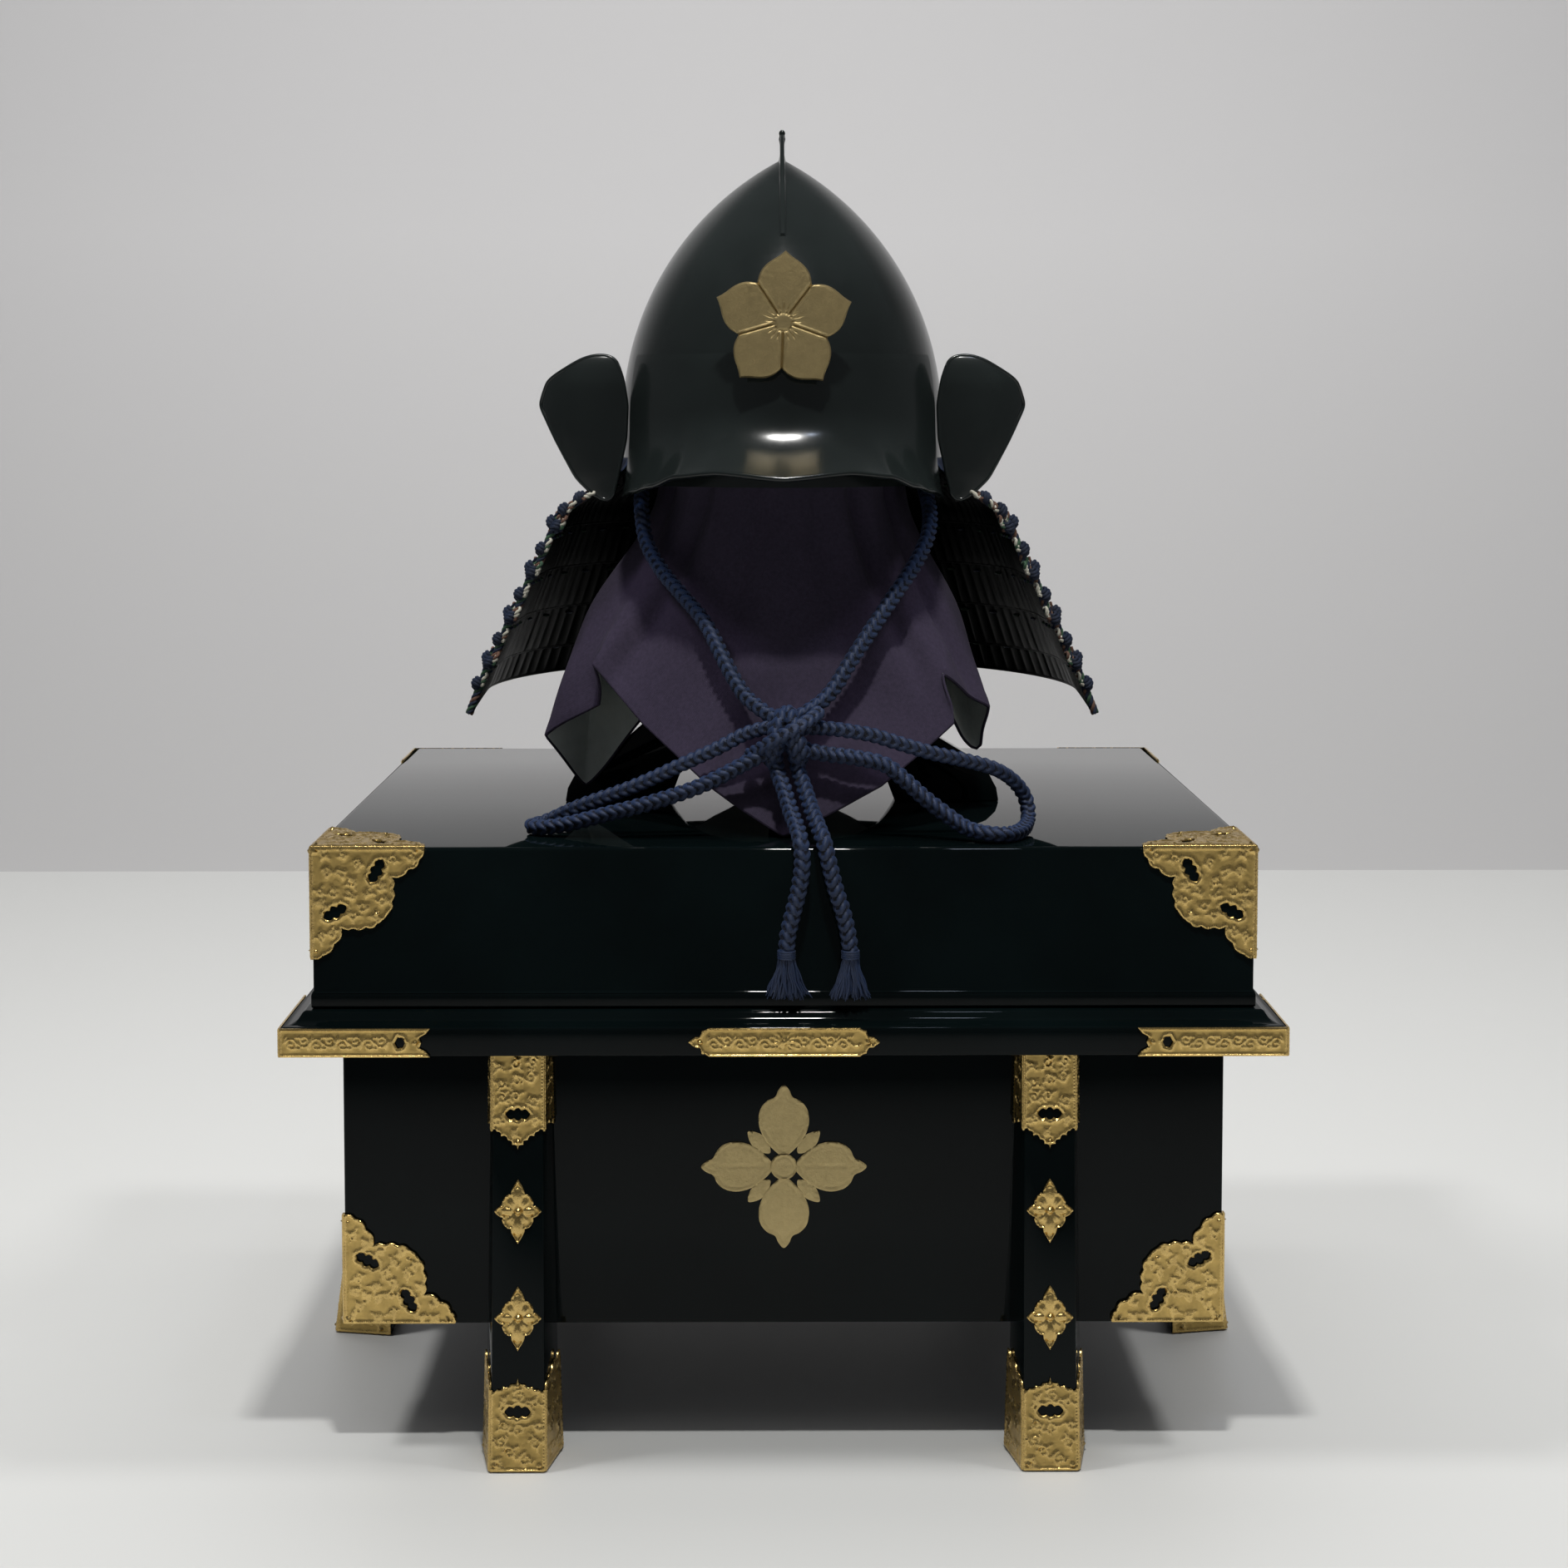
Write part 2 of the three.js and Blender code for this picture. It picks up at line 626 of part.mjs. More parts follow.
// Turned-back wings: rows up the wing with its height above the bowl's rim, and how far its inner and outer edge
// lie from the bowl's half width
const WING_ROWS = [
  { share: 0, height: -11, inner: 5, outer: 11 },
  { share: 0.16, height: 4, inner: 1, outer: 27 },
  { share: 0.42, height: 30, inner: -4.5, outer: 41 },
  { share: 0.66, height: 52, inner: -5.5, outer: 51.7 },
  { share: 0.82, height: 68, inner: -3, outer: 46 },
  { share: 0.95, height: 81, inner: 1.5, outer: 25 },
  { share: 1, height: 85.5, inner: 6, outer: 16 },
];

function wing(side) {
  const back = (u, v) => {
    const out = lerp(fromTable(WING_ROWS, 'inner', v), fromTable(WING_ROWS, 'outer', v), u);
    const bend = Math.max(0, out - WING_BEND) / (WING_ROWS[3].outer - WING_BEND);
    const y = HELMET_Y - LAMES[0].front - 2 * GAP + WING_SWEEP * bend ** 2;
    return [side * (BOWL_HALF_WIDTH + out), y, BOWL_RIM + fromTable(WING_ROWS, 'height', v)];
  };
  const front = movedOut(back, WING_THICK, () => new THREE.Vector3(0, -1, 0));
  return thickSheet(front, back, 5, 8);
}

// Crest: five pointed petals, with a stem behind it to the bowl
function crestOutline() {
  const points = [];
  for (let petal = 0; petal < 5; petal += 1) {
    const middle = radians(90 + 72 * petal);
    for (const [turn, share] of [[-36, 0.66], [-24, 0.82], [-12, 0.87], [0, 1], [12, 0.87], [24, 0.82]]) {
      const angle = middle + radians(turn);
      points.push([Math.cos(angle) * share * CREST_RADIUS, Math.sin(angle) * share * CREST_RADIUS]);
    }
  }
  return points;
}

function crest() {
  const lowest = CREST_HEIGHT - CREST_RADIUS - BOWL_BASE;
  const [, seat] = bowlPoint(0, Math.max(BOWL_SHOULDER, lowest), GAP + VISOR_THICK);
  const backFace = seat - CREST_CLEAR;
  const [, bowlFront] = bowlPoint(0, CREST_HEIGHT - CREST_STEM / 2 - BOWL_BASE, GAP);
  const plate = laid(extruded(crestOutline(), [], CREST_THICK), [0, backFace, LID_TOP + CREST_HEIGHT],
    [1, 0, 0], [0, 0, 1], [0, -1, 0]);
  const stem = new THREE.BoxGeometry(CREST_STEM, bowlFront - backFace + CREST_THICK / 2, CREST_STEM);
  stem.translate(0, (bowlFront + backFace - CREST_THICK / 2) / 2, LID_TOP + CREST_HEIGHT);
  return joined([plate, stem]);
}

// Neck guard. Rows down each lame: height above the lid and how far the front end is drawn in.
const LAMES = [
  { top: 232, bottom: 185, front: 50 },
  { top: 198, bottom: 155, front: 47 },
  { top: 168, bottom: 125, front: 43 },
  { top: 138, bottom: 95, front: 39 },
  { top: 108, bottom: 76, front: 34 },
];
const GUARD_SIDE = 0.26; // share of each half that runs straight forward

function guardHalf(height, index) {
  return GUARD_HALF_WIDTH + LAME_FLARE * (GUARD_TOP - height) + LAME_STEP * index;
}

function lame(index) {
  const { top, bottom, front } = LAMES[index];
  const last = index === LAMES.length - 1;
  const inner = (u, v) => {
    const side = 2 * u - 1;
    const ahead = Math.max(0, (Math.abs(side) - 1 + GUARD_SIDE) / GUARD_SIDE);
    const round = Math.min(1, Math.abs(side) / (1 - GUARD_SIDE)) * Math.PI / 2;
    const height = lerp(top, bottom, v) - (last ? GUARD_DROOP * v * ahead ** 2 : 0);
    const neck = index === 0 ? 1 - smooth(v, 0, 0.75) : 0;
    const half = lerp(guardHalf(height, index), BOWL_HALF_WIDTH + 2 * GAP, neck);
    const drawnIn = 1 - (index === 0 ? 0.085 * neck : -0.012) * ahead ** 2;
    return [
      Math.sign(side) * half * Math.sin(round) * drawnIn,
      HELMET_Y + (half + GUARD_DEEPER) * Math.cos(round) - front * ahead,
      LID_TOP + height,
    ];
  };
  return thickSheet(movedOut(inner, LAME_THICK, fromAxis), inner, 26, index === 0 ? 3 : 1);
}

// Stand: two crossed boards with arches, a post and a head that the bowl rests on

// Half width of the head at a height above the lid: its own size, or what fits in the bowl
function headHalf(height, outset) {
  const inBowl = bowlInside(height - BOWL_BASE) - CLOTH - 2 * (GAP + FACET_EASE);
  const round = Math.sqrt(Math.max(0, 1 - ((HEAD_BOTTOM + 26 - height) / 30) ** 2));
  const own = HEAD_HALF_WIDTH * (height < HEAD_BOTTOM + 26 ? 0.45 + 0.55 * round : 1);
  const rounding = HEAD_ROUND * smooth(height, HEAD_TOP - 20, HEAD_TOP);
  return Math.min(own, height > BOWL_BASE ? inBowl - rounding : own) + outset;
}

const HEAD_SHARE = HEAD_HALF_DEPTH / HEAD_HALF_WIDTH;

function oval(halfWidth, halfDepth, z, sides = 20) {
  return Array.from({ length: sides }, (_, i) => {
    const turn = 2 * Math.PI * i / sides;
    return [Math.sin(turn) * halfWidth, HELMET_Y - Math.cos(turn) * halfDepth, z];
  });
}

function board(halfWidth, arch) {
  const outer = [
    [halfWidth, 0],
    [halfWidth * 0.99, 9],
    [halfWidth * 0.95, 20],
    [halfWidth * 0.86, 31],
    [halfWidth * 0.7, 45],
    [halfWidth * 0.5, STAND_SHOULDER * 0.7],
    [STAND_POST, STAND_SHOULDER],
  ];
  const inside = [
    [arch * 0.35, STAND_ARCH_HEIGHT * 0.94],
    [arch * 0.66, STAND_ARCH_HEIGHT * 0.75],
    [arch * 0.86, STAND_ARCH_HEIGHT * 0.45],
    [arch, 0],
  ];
  const outline = [
    ...inside,
    ...outer,
    ...outer.map(([x, z]) => [-x, z]).reverse(),
    ...inside.map(([x, z]) => [-x, z]).reverse(),
  ];
  return extruded(outline, [], STAND_BOARD);
}

function stand() {
  const foot = LID_TOP + GAP;
  const across = laid(board(STAND_HALF_WIDTH, STAND_ARCH), [0, HELMET_Y + STAND_BOARD / 2, foot],
    [1, 0, 0], [0, 0, 1], [0, -1, 0]);
  const along = laid(board(STAND_HALF_DEPTH, STAND_ARCH * STAND_HALF_DEPTH / STAND_HALF_WIDTH),
    [-STAND_BOARD / 2, HELMET_Y, foot], [0, 1, 0], [0, 0, 1], [1, 0, 0]);
  const post = loft([STAND_SHOULDER - 30, HEAD_BOTTOM + 10].map((z) => oval(STAND_POST, STAND_POST, LID_TOP + z, 12)));
  const levels = [HEAD_BOTTOM, HEAD_BOTTOM + 8, HEAD_BOTTOM + 26, 300, 322, 340, HEAD_TOP];
  const head = loft(levels.map((height) => {
    const half = headHalf(height, 0);
    return oval(half, half * HEAD_SHARE, LID_TOP + height);
  }));
  return joined([across, along, post, head]);
}

// Cloth over the stand. Each row is a fold of one half, from the front corner to the back corner:
// where it leaves the head, and its place at the waist, the skirt and the hem, from the helmet's axis.
const FOLDS = [
  { turn: 0, waistX: 0, waistY: -115, skirtX: 0, skirtY: -128, hemX: 0, hemY: -160, hem: 2 },
  { turn: 18, waistX: 34, waistY: -109, skirtX: 38, skirtY: -121, hemX: 45, hemY: -145, hem: 30 },
  { turn: 40, waistX: 73, waistY: -90, skirtX: 80, skirtY: -99, hemX: 88, hemY: -110, hem: 65 },
  { turn: 58, waistX: 102, waistY: -71, skirtX: 112, skirtY: -78, hemX: 122, hemY: -85, hem: 101 },
  { turn: 76, waistX: 128, waistY: -38, skirtX: 143, skirtY: -42, hemX: 157, hemY: -45, hem: 50 },
  { turn: 90, waistX: 120, waistY: -12, skirtX: 128, skirtY: -16, hemX: 131, hemY: -24, hem: 14 },
  { turn: 104, waistX: 106, waistY: 12, skirtX: 110, skirtY: 10, hemX: 106, hemY: 4, hem: 76 },
  { turn: 122, waistX: 94, waistY: 52, skirtX: 98, skirtY: 56, hemX: 100, hemY: 62, hem: 92 },
  { turn: 140, waistX: 80, waistY: 90, skirtX: 86, skirtY: 96, hemX: 90, hemY: 102, hem: 96 },
  { turn: 160, waistX: 42, waistY: 114, skirtX: 46, skirtY: 122, hemX: 50, hemY: 130, hem: 48 },
  { turn: 180, waistX: 0, waistY: 122, skirtX: 0, skirtY: 132, hemX: 0, hemY: 150, hem: 2 },
];
const NECK = 206;
const WAIST = 130;

function clothCurves() {
  const halves = [...FOLDS, ...FOLDS.slice(1, -1).reverse().map((row) => ({ ...row, mirror: true }))];
  const knots = (place) => new THREE.CatmullRomCurve3(
    halves.map((row) => {
      const [x, y, z] = place(row);
      return new THREE.Vector3(row.mirror ? -x : x, HELMET_Y + y, LID_TOP + z);
    }),
    true,
    'centripetal',
  );
  const ring = (height, outset) => knots((row) => {
    const half = headHalf(height, outset);
    const turn = radians(row.turn);
    return [Math.sin(turn) * half, -Math.cos(turn) * half * HEAD_SHARE, height];
  });
  const skirt = (row) => (WAIST + row.hem) / 2;
  return [
    ...[HEAD_TOP, 340, 322, 300, HEAD_BOTTOM + 26].map((height) => ring(height, GAP + FACET_EASE)),
    knots((row) => {
      const turn = radians(row.turn);
      return [Math.sin(turn) * (HEAD_HALF_WIDTH + GAP), -Math.cos(turn) * (HEAD_HALF_DEPTH + GAP), NECK];
    }),
    knots((row) => [row.waistX, row.waistY, WAIST]),
    knots((row) => [row.skirtX, row.skirtY, skirt(row)]),
    knots((row) => [row.hemX, row.hemY, row.hem]),
  ];
}

function cloth() {
  const curves = clothCurves();
  const around = 36;
  const rings = curves.length;
  const crown = [0, HELMET_Y, LID_TOP + HEAD_TOP + GAP];
  const inner = (u, v) => {
    if (v === 0) return crown;
    const curve = curves[Math.round(v * rings) - 1];
    return curve.getPoint(u).toArray();
  };
  return { inner, around, rings };
}

function clothSolid() {
  const { inner, around, rings } = cloth();
  const up = new THREE.Vector3(0, 0, 1);
  const outer = (u, v) => {
    const here = new THREE.Vector3(...inner(u, v));
    if (v === 0) return here.addScaledVector(up, CLOTH).toArray();
    const step = 1 / around;
    const ring = 1 / rings;
    const along = new THREE.Vector3(...inner((u + step) % 1, v)).sub(new THREE.Vector3(...inner((u + 1 - step) % 1, v)));
    const [above, below] = [inner(u, v - ring), inner(u, Math.min(1, v + ring))];
    const downward = new THREE.Vector3(...below).sub(new THREE.Vector3(...above));
    const normal = downward.cross(along).normalize();
    if (normal.dot(fromAxis(here)) < 0) normal.negate();
    return here.addScaledVector(normal, CLOTH).toArray();
  };
  return thickSheet(outer, inner, around, rings, true);
}

// Chin cord: hand-chosen points of each stretch, heights above the lid
const ROUTES = {
  chin_cord_loop: [
    [-24, -176, 86], [-36, -166, 105], [-49, -152, 129], [-64, -138, 146], [-77, -124, 160], [-88, -106, 178],
    [-92, -90, 198], [-93, -72, 212], [-95, -55, 222], [-96.5, -36, 226], [-90.5, -1, 227], [-69, 40, 227],
    [-33, 68, 227], [0, 75, 227], [33, 68, 227], [69, 40, 227], [90.5, -1, 227], [96.5, -36, 226], [95, -55, 222],
    [94, -73, 212], [96, -92, 199], [94, -110, 183], [84, -128, 164], [72, -142, 148], [56, -156, 126], [42, -168, 106], [28, -178, 86],
  ],
  bow_loop_left: [
    [-24, -187, 63], [-40, -190, 55], [-60, -191, 46], [-92, -188, 31], [-128, -182, 17], [-149, -177, 7],
    [-157, -182, 5.2], [-150, -190, 5.2], [-134, -194, 8], [-112, -197, 14], [-82, -199, 22], [-50, -199, 33],
    [-24, -197, 46],
  ],
  bow_loop_right: [
    [24, -189, 67], [38, -193, 66], [56, -195, 63], [72, -195, 58], [92, -193, 52], [112, -189, 47], [131, -184, 41],
    [144, -177, 32], [152, -172, 20], [153, -178, 10], [146, -203, 5.2], [135, -218, 5.2], [124, -219, 6],
    [112, -211, 8], [98, -206, 17], [85, -204, 27], [74, -203, 37], [62, -202, 46], [44, -200, 50], [24, -195, 52],
  ],
  cord_tail_left: [
    [-4, -197, 42], [0, -206, 32], [4, -217, 20], [8, -229, 11], [10, -237.2, 4], [11, -239.4, -8], [9, -239.4, -24],
    [5, -239.4, -40], [2, -239.4, -54], [1.5, -239.4, -64],
  ],
  cord_tail_right: [
    [9, -197, 42], [13, -206, 31], [17, -217, 20], [21, -229, 11], [24, -237.2, 4], [27, -239.4, -8], [31, -239.4, -24],
    [36, -239.4, -40], [39, -239.4, -54], [40, -239.4, -64],
  ],
};
const CORD_STEPS = {
  chin_cord_loop: 38, bow_loop_left: 13, bow_loop_right: 14, cord_tail_left: 6, cord_tail_right: 6,
};
const KNOT_PLACE = [1, -190, 62];
const CORD_SIDES = 8;

const overLid = ([x, y, z]) => new THREE.Vector3(x, y, LID_TOP + z);

function cordTube(name) {
  const ring = Array.from({ length: CORD_SIDES }, (_, i) => {
    const turn = 2 * Math.PI * i / CORD_SIDES;
    return new THREE.Vector2(Math.cos(turn) * CORD / 2, Math.sin(turn) * CORD / 2);
  });
  return facedOut(new THREE.ExtrudeGeometry(new THREE.Shape(ring), {
    steps: CORD_STEPS[name],
    extrudePath: new THREE.CatmullRomCurve3(ROUTES[name].map(overLid), false, 'centripetal'),
  }));
}

function knotShape(outset) {
  const ball = new THREE.SphereGeometry(1, 12, 8);
  ball.rotateX(Math.PI / 2);
  ball.scale(KNOT_WIDTH / 2 + outset, KNOT_DEPTH / 2 + outset, KNOT_HEIGHT / 2 + outset);
  return ball.translate(...overLid(KNOT_PLACE).toArray());
}

// Frayed end of a tail: a flat tuft that widens downwards
function tassel(name) {
  const [x, y, z] = ROUTES[name].at(-1);
  const top = z - GAP - CORD / 2 + 4;
  const rows = [
    { down: 0, width: CORD * 0.8 }, { down: 0.18, width: CORD * 1.15 }, { down: 0.6, width: TASSEL_WIDTH * 0.85 },
    { down: 1, width: TASSEL_WIDTH },
  ];
  return loft(rows.map(({ down, width }) => Array.from({ length: 12 }, (_, i) => {
    const turn = 2 * Math.PI * i / 12;
    const ragged = down === 1 ? (i % 2) * 2.5 : 0;
    return [
      x + Math.cos(turn) * width / 2,
      y + Math.sin(turn) * Math.min(width, TASSEL_DEPTH) / 2 - 0.4,
      LID_TOP + top - down * TASSEL_HEIGHT + ragged,
    ];
  })));
}

// Everything in its place

addPiece('chest_box', chestBox(), lacquer);
addPiece('chest_ledge', chestLedge(), lacquer);
addPiece('chest_lid', chestLid(), lacquer);
for (const place of legPlaces) {
  addPiece(`leg_${place[0]}`, atLeg(leg(), place), lacquer);
  addPiece(`shoe_${place[0]}`, atLeg(shoe(), place), gilt);
  addPiece(`leg_cap_${place[0]}`, atLeg(legCap(), place), gilt);
}

const lidCorner = foldedCorner(cornerPlate(LID_CORNER), LID_HALF, LID_TOP, -1, true);
const lidCornerBack = foldedCorner(cornerPlate(LID_CORNER), LID_HALF, LID_TOP, -1, false);
const boxCorner = foldedCorner(cornerPlate(BOX_CORNER), BOX_HALF, BOX_FLOOR + GAP, 1, false);
const ledgeCorner = foldedCorner(stripPlate(LEDGE_CORNER, LEDGE_FASCIA - GAP), LEDGE_HALF, LEDGE_UNDERSIDE, 1, false);
for (const [name, x, y] of cornerPlaces) {
  addPiece(`lid_corner_${name}`, mirrored(y < 0 ? lidCorner : lidCornerBack, x, y), gilt);
  addPiece(`ledge_corner_${name}`, mirrored(ledgeCorner, x, y), gilt);
  addPiece(`box_corner_${name}`, mirrored(boxCorner, x, y), gilt);
}
const fasciaMiddle = LEDGE_UNDERSIDE + LEDGE_FASCIA / 2;
const frontPlate = laid(ledgePlate(), [0, -LEDGE_HALF[1] - GAP, fasciaMiddle], [1, 0, 0], [0, 0, 1], [0, -1, 0]);
addPiece('ledge_plate_front', frontPlate, gilt);
addPiece('ledge_plate_back', mirrored(frontPlate, 1, -1), gilt);
addPiece('front_ornament', laid(frontOrnament(), [0, -BOX_HALF[1] - GAP, ORNAMENT_HEIGHT],
  [1, 0, 0], [0, 0, 1], [0, -1, 0]), leaf);

addPiece('helmet_bowl', bowl(), lacquer);
addPiece('bowl_comb', comb(), lacquer);
addPiece('visor', visor(), lacquer);
addPiece('wing_left', wing(-1), lacquer);
addPiece('wing_right', wing(1), lacquer);
addPiece('crest', crest(), leaf);
LAMES.forEach((_, index) => addPiece(`neck_lame_${index + 1}`, lame(index), innerLacquer));

addPiece('stand', stand(), lacquer);
addPiece('cloth', clothSolid(), purple);
for (const name of Object.keys(ROUTES)) addPiece(name, cutBy(cordTube(name), [knotShape(GAP)]), silk);
addPiece('bow_knot', facedOut(knotShape(0)), silk);
addPiece('tassel_left', tassel('cord_tail_left'), silk);
addPiece('tassel_right', tassel('cord_tail_right'), silk);

export default model;
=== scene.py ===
"""A lacquered samurai helmet with a gilt flower crest, on a cloth-covered stand and a six-legged chest."""
import math
import random

import bpy
import numpy as np
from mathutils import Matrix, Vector
from mathutils.geometry import delaunay_2d_cdt


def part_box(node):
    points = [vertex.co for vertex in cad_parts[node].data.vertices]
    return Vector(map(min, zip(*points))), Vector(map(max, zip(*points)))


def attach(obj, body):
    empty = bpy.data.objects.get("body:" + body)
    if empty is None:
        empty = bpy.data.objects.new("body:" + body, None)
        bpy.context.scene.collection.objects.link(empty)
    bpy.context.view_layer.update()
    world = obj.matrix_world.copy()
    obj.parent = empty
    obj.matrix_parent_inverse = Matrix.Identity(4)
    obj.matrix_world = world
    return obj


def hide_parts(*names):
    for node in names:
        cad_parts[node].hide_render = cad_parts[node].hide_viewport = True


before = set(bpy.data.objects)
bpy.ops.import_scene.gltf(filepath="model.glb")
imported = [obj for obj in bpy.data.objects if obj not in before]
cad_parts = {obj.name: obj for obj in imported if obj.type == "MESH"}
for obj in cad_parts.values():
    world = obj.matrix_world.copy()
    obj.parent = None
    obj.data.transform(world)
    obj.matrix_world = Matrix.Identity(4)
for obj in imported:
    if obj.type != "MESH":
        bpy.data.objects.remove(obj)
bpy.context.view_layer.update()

MM = 0.001
GAP = 0.3

# The same named sizes as the part's, in millimetres
LID_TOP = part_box("chest_lid")[1][2] / MM
HELMET_Y = -40.0
BOWL_BASE, BOWL_HEIGHT, BOWL_SHOULDER = 215.0, 215.5, 40.0
BOWL_HALF_WIDTH, BOWL_HALF_DEPTH, BOWL_WALL = 107.0, 125.0, 3.0
CREASE, CREASE_DROP = 0.42, 85.0
VISOR_THICK, VISOR_SPREAD, VISOR_TOP = 2.0, 65.0, 84.0
HEAD_HALF_WIDTH, HEAD_HALF_DEPTH, HEAD_TOP = 83.0, 97.0, 360.0
CLOTH = 1.2
CREST_HEIGHT, CREST_RADIUS = 318.0, 44.0
GUARD_HALF_WIDTH, GUARD_TOP, LAME_FLARE, LAME_STEP = 135.0, 210.0, 0.4, 2.5
GUARD_DEEPER, GUARD_DROOP, GUARD_SIDE, LAME_THICK = 18.0, 13.0, 0.26, 2.0
BOWL_RIM = LID_TOP + BOWL_BASE
TAU = 2 * math.pi


# Small maths

def lerp(a, b, t):
    return a + (b - a) * t


def smooth(x, low, high):
    t = np.clip((x - low) / (high - low), 0, 1)
    return t * t * (3 - 2 * t)


def unit(vectors):
    return vectors / np.maximum(np.linalg.norm(vectors, axis=-1, keepdims=True), 1e-9)


def spline(points, count, closed=False):
    """Even points along a centripetal Catmull-Rom curve through given points."""
    points = np.asarray(points, float)
    if closed:
        ends = np.vstack([points[-1], points, points[0], points[1]])
    else:
        ends = np.vstack([2 * points[0] - points[1], points, 2 * points[-1] - points[-2]])
    fine = []
    for p0, p1, p2, p3 in zip(ends, ends[1:], ends[2:], ends[3:]):
        knots = [0.0]
        for a, b in ((p0, p1), (p1, p2), (p2, p3)):
            knots.append(knots[-1] + max(np.linalg.norm(b - a), 1e-6) ** 0.5)
        t0, t1, t2, t3 = knots
        t = np.linspace(t1, t2, 24, endpoint=False)[:, None]
        a1 = (t1 - t) / (t1 - t0) * p0 + (t - t0) / (t1 - t0) * p1
        a2 = (t2 - t) / (t2 - t1) * p1 + (t - t1) / (t2 - t1) * p2
        a3 = (t3 - t) / (t3 - t2) * p2 + (t - t2) / (t3 - t2) * p3
        b1 = (t2 - t) / (t2 - t0) * a1 + (t - t0) / (t2 - t0) * a2
        b2 = (t3 - t) / (t3 - t1) * a2 + (t - t1) / (t3 - t1) * a3
        fine.append((t2 - t) / (t2 - t1) * b1 + (t - t1) / (t2 - t1) * b2)
    fine.append(points[:1] if closed else points[-1:])
    fine = np.vstack(fine)
    run = np.concatenate([[0], np.cumsum(np.linalg.norm(np.diff(fine, axis=0), axis=1))])
    at = np.linspace(0, run[-1], count)
    return np.stack([np.interp(at, run, fine[:, k]) for k in range(points.shape[1])], axis=1)


def length_of(path):
    return float(np.linalg.norm(np.diff(path, axis=0), axis=1).sum())


# Mesh helpers

def piece(name, points, faces, material, replaces=(), sharp=35, body="root"):
    """A mesh from points in millimetres, riding on the body, in place of the named nodes."""
    mesh = bpy.data.meshes.new(name)
    mesh.from_pydata((np.asarray(points, float) * MM).tolist(), [], [list(map(int, face)) for face in faces])
    mesh.validate()
    obj = bpy.data.objects.new(name, mesh)
    bpy.context.collection.objects.link(obj)
    for entry in material if isinstance(material, (list, tuple)) else [material]:
        mesh.materials.append(entry)
    mesh.shade_smooth()
    if sharp:
        mesh.set_sharp_from_angle(angle=math.radians(sharp))
    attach(obj, body)
    if replaces:
        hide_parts(*replaces)
    return obj


class Build:
    """Collects points and faces of one mesh."""

    def __init__(self):
        self.points, self.faces, self.marks, self.count = [], [], [], 0

    def add(self, points, faces, mark=0):
        points = np.asarray(points, float).reshape(-1, 3)
        faces = [tuple(i + self.count for i in face) for face in faces]
        self.points.append(points)
        self.faces += faces
        self.marks += [mark] * len(faces)
        self.count += len(points)

    def make(self, name, material, replaces=(), sharp=35):
        obj = piece(name, np.vstack(self.points), self.faces, material, replaces, sharp)
        if any(self.marks) and len(obj.data.polygons) == len(self.marks):
            obj.data.polygons.foreach_set("material_index", self.marks)
        return obj


def grid_faces(rows, columns, wrap_rows=False, wrap_columns=False, flip=False):
    faces = []
    for r in range(rows if wrap_rows else rows - 1):
        for c in range(columns if wrap_columns else columns - 1):
            a, b = r * columns + c, r * columns + (c + 1) % columns
            d, e = ((r + 1) % rows) * columns + c, ((r + 1) % rows) * columns + (c + 1) % columns
            faces.append((a, d, e, b) if flip else (a, b, e, d))
    return faces


def sheet_faces(rows, columns, wrap=False):
    """Front, back and rim faces of a sheet whose second layer of points follows the first."""
    layer = rows * columns
    front = grid_faces(rows, columns, wrap_columns=wrap)
    back = [tuple(i + layer for i in reversed(face)) for face in front]
    edge = []
    span = columns if wrap else columns - 1
    for c in range(span):
        d = (c + 1) % columns
        edge.append((c, c + layer, d + layer, d))
        base = (rows - 1) * columns
        edge.append((base + d, base + d + layer, base + c + layer, base + c))
    for r in range(0 if wrap else rows - 1):
        a, b = r * columns, (r + 1) * columns
        edge.append((b, b + layer, a + layer, a))
        a, b = a + columns - 1, b + columns - 1
        edge.append((a, a + layer, b + layer, b))
    return front, back, edge


def layers_of(*grids):
    """The points of several grids, one after the other."""
    return np.concatenate([grid.reshape(-1, 3) for grid in grids])


def normals_of(grid, wrap=False):
    """Unit normals of a grid of points, from its neighbours."""
    if wrap:
        across = np.roll(grid, -1, axis=1) - np.roll(grid, 1, axis=1)
    else:
        across = np.gradient(grid, axis=1)
    return unit(np.cross(across, np.gradient(grid, axis=0)))


def outward_normals(grid, wrap=False):
    """Unit normals of a grid round the helmet's axis, all on its outer side."""
    normal = normals_of(grid, wrap)
    away = grid - (0, HELMET_Y, 0)
    away[..., 2] = 0
    return normal * np.sign((normal * away).sum(axis=-1).mean())


def ring_of(turn, side, up):
    """Directions at turns round a frame of two unit vectors."""
    return np.cos(turn)[:, None] * side + np.sin(turn)[:, None] * up


def tube(path, radius, sides=8, closed=False):
    """Points and faces of a round tube along a path; radius may be one number or one for each point."""
    path = np.asarray(path, float)
    frames = frames_along(path, closed)
    radii = np.broadcast_to(np.asarray(radius, float), (len(path),))
    turn = np.arange(sides) / sides * TAU
    ring = np.cos(turn)[None, :, None] * frames[0][:, None] + np.sin(turn)[None, :, None] * frames[1][:, None]
    points = path[:, None] + ring * radii[:, None, None]
    faces = grid_faces(len(path), sides, wrap_rows=closed, wrap_columns=True)
    if not closed:
        faces += [tuple(reversed(range(sides))), tuple(range((len(path) - 1) * sides, len(path) * sides))]
    return points.reshape(-1, 3), faces


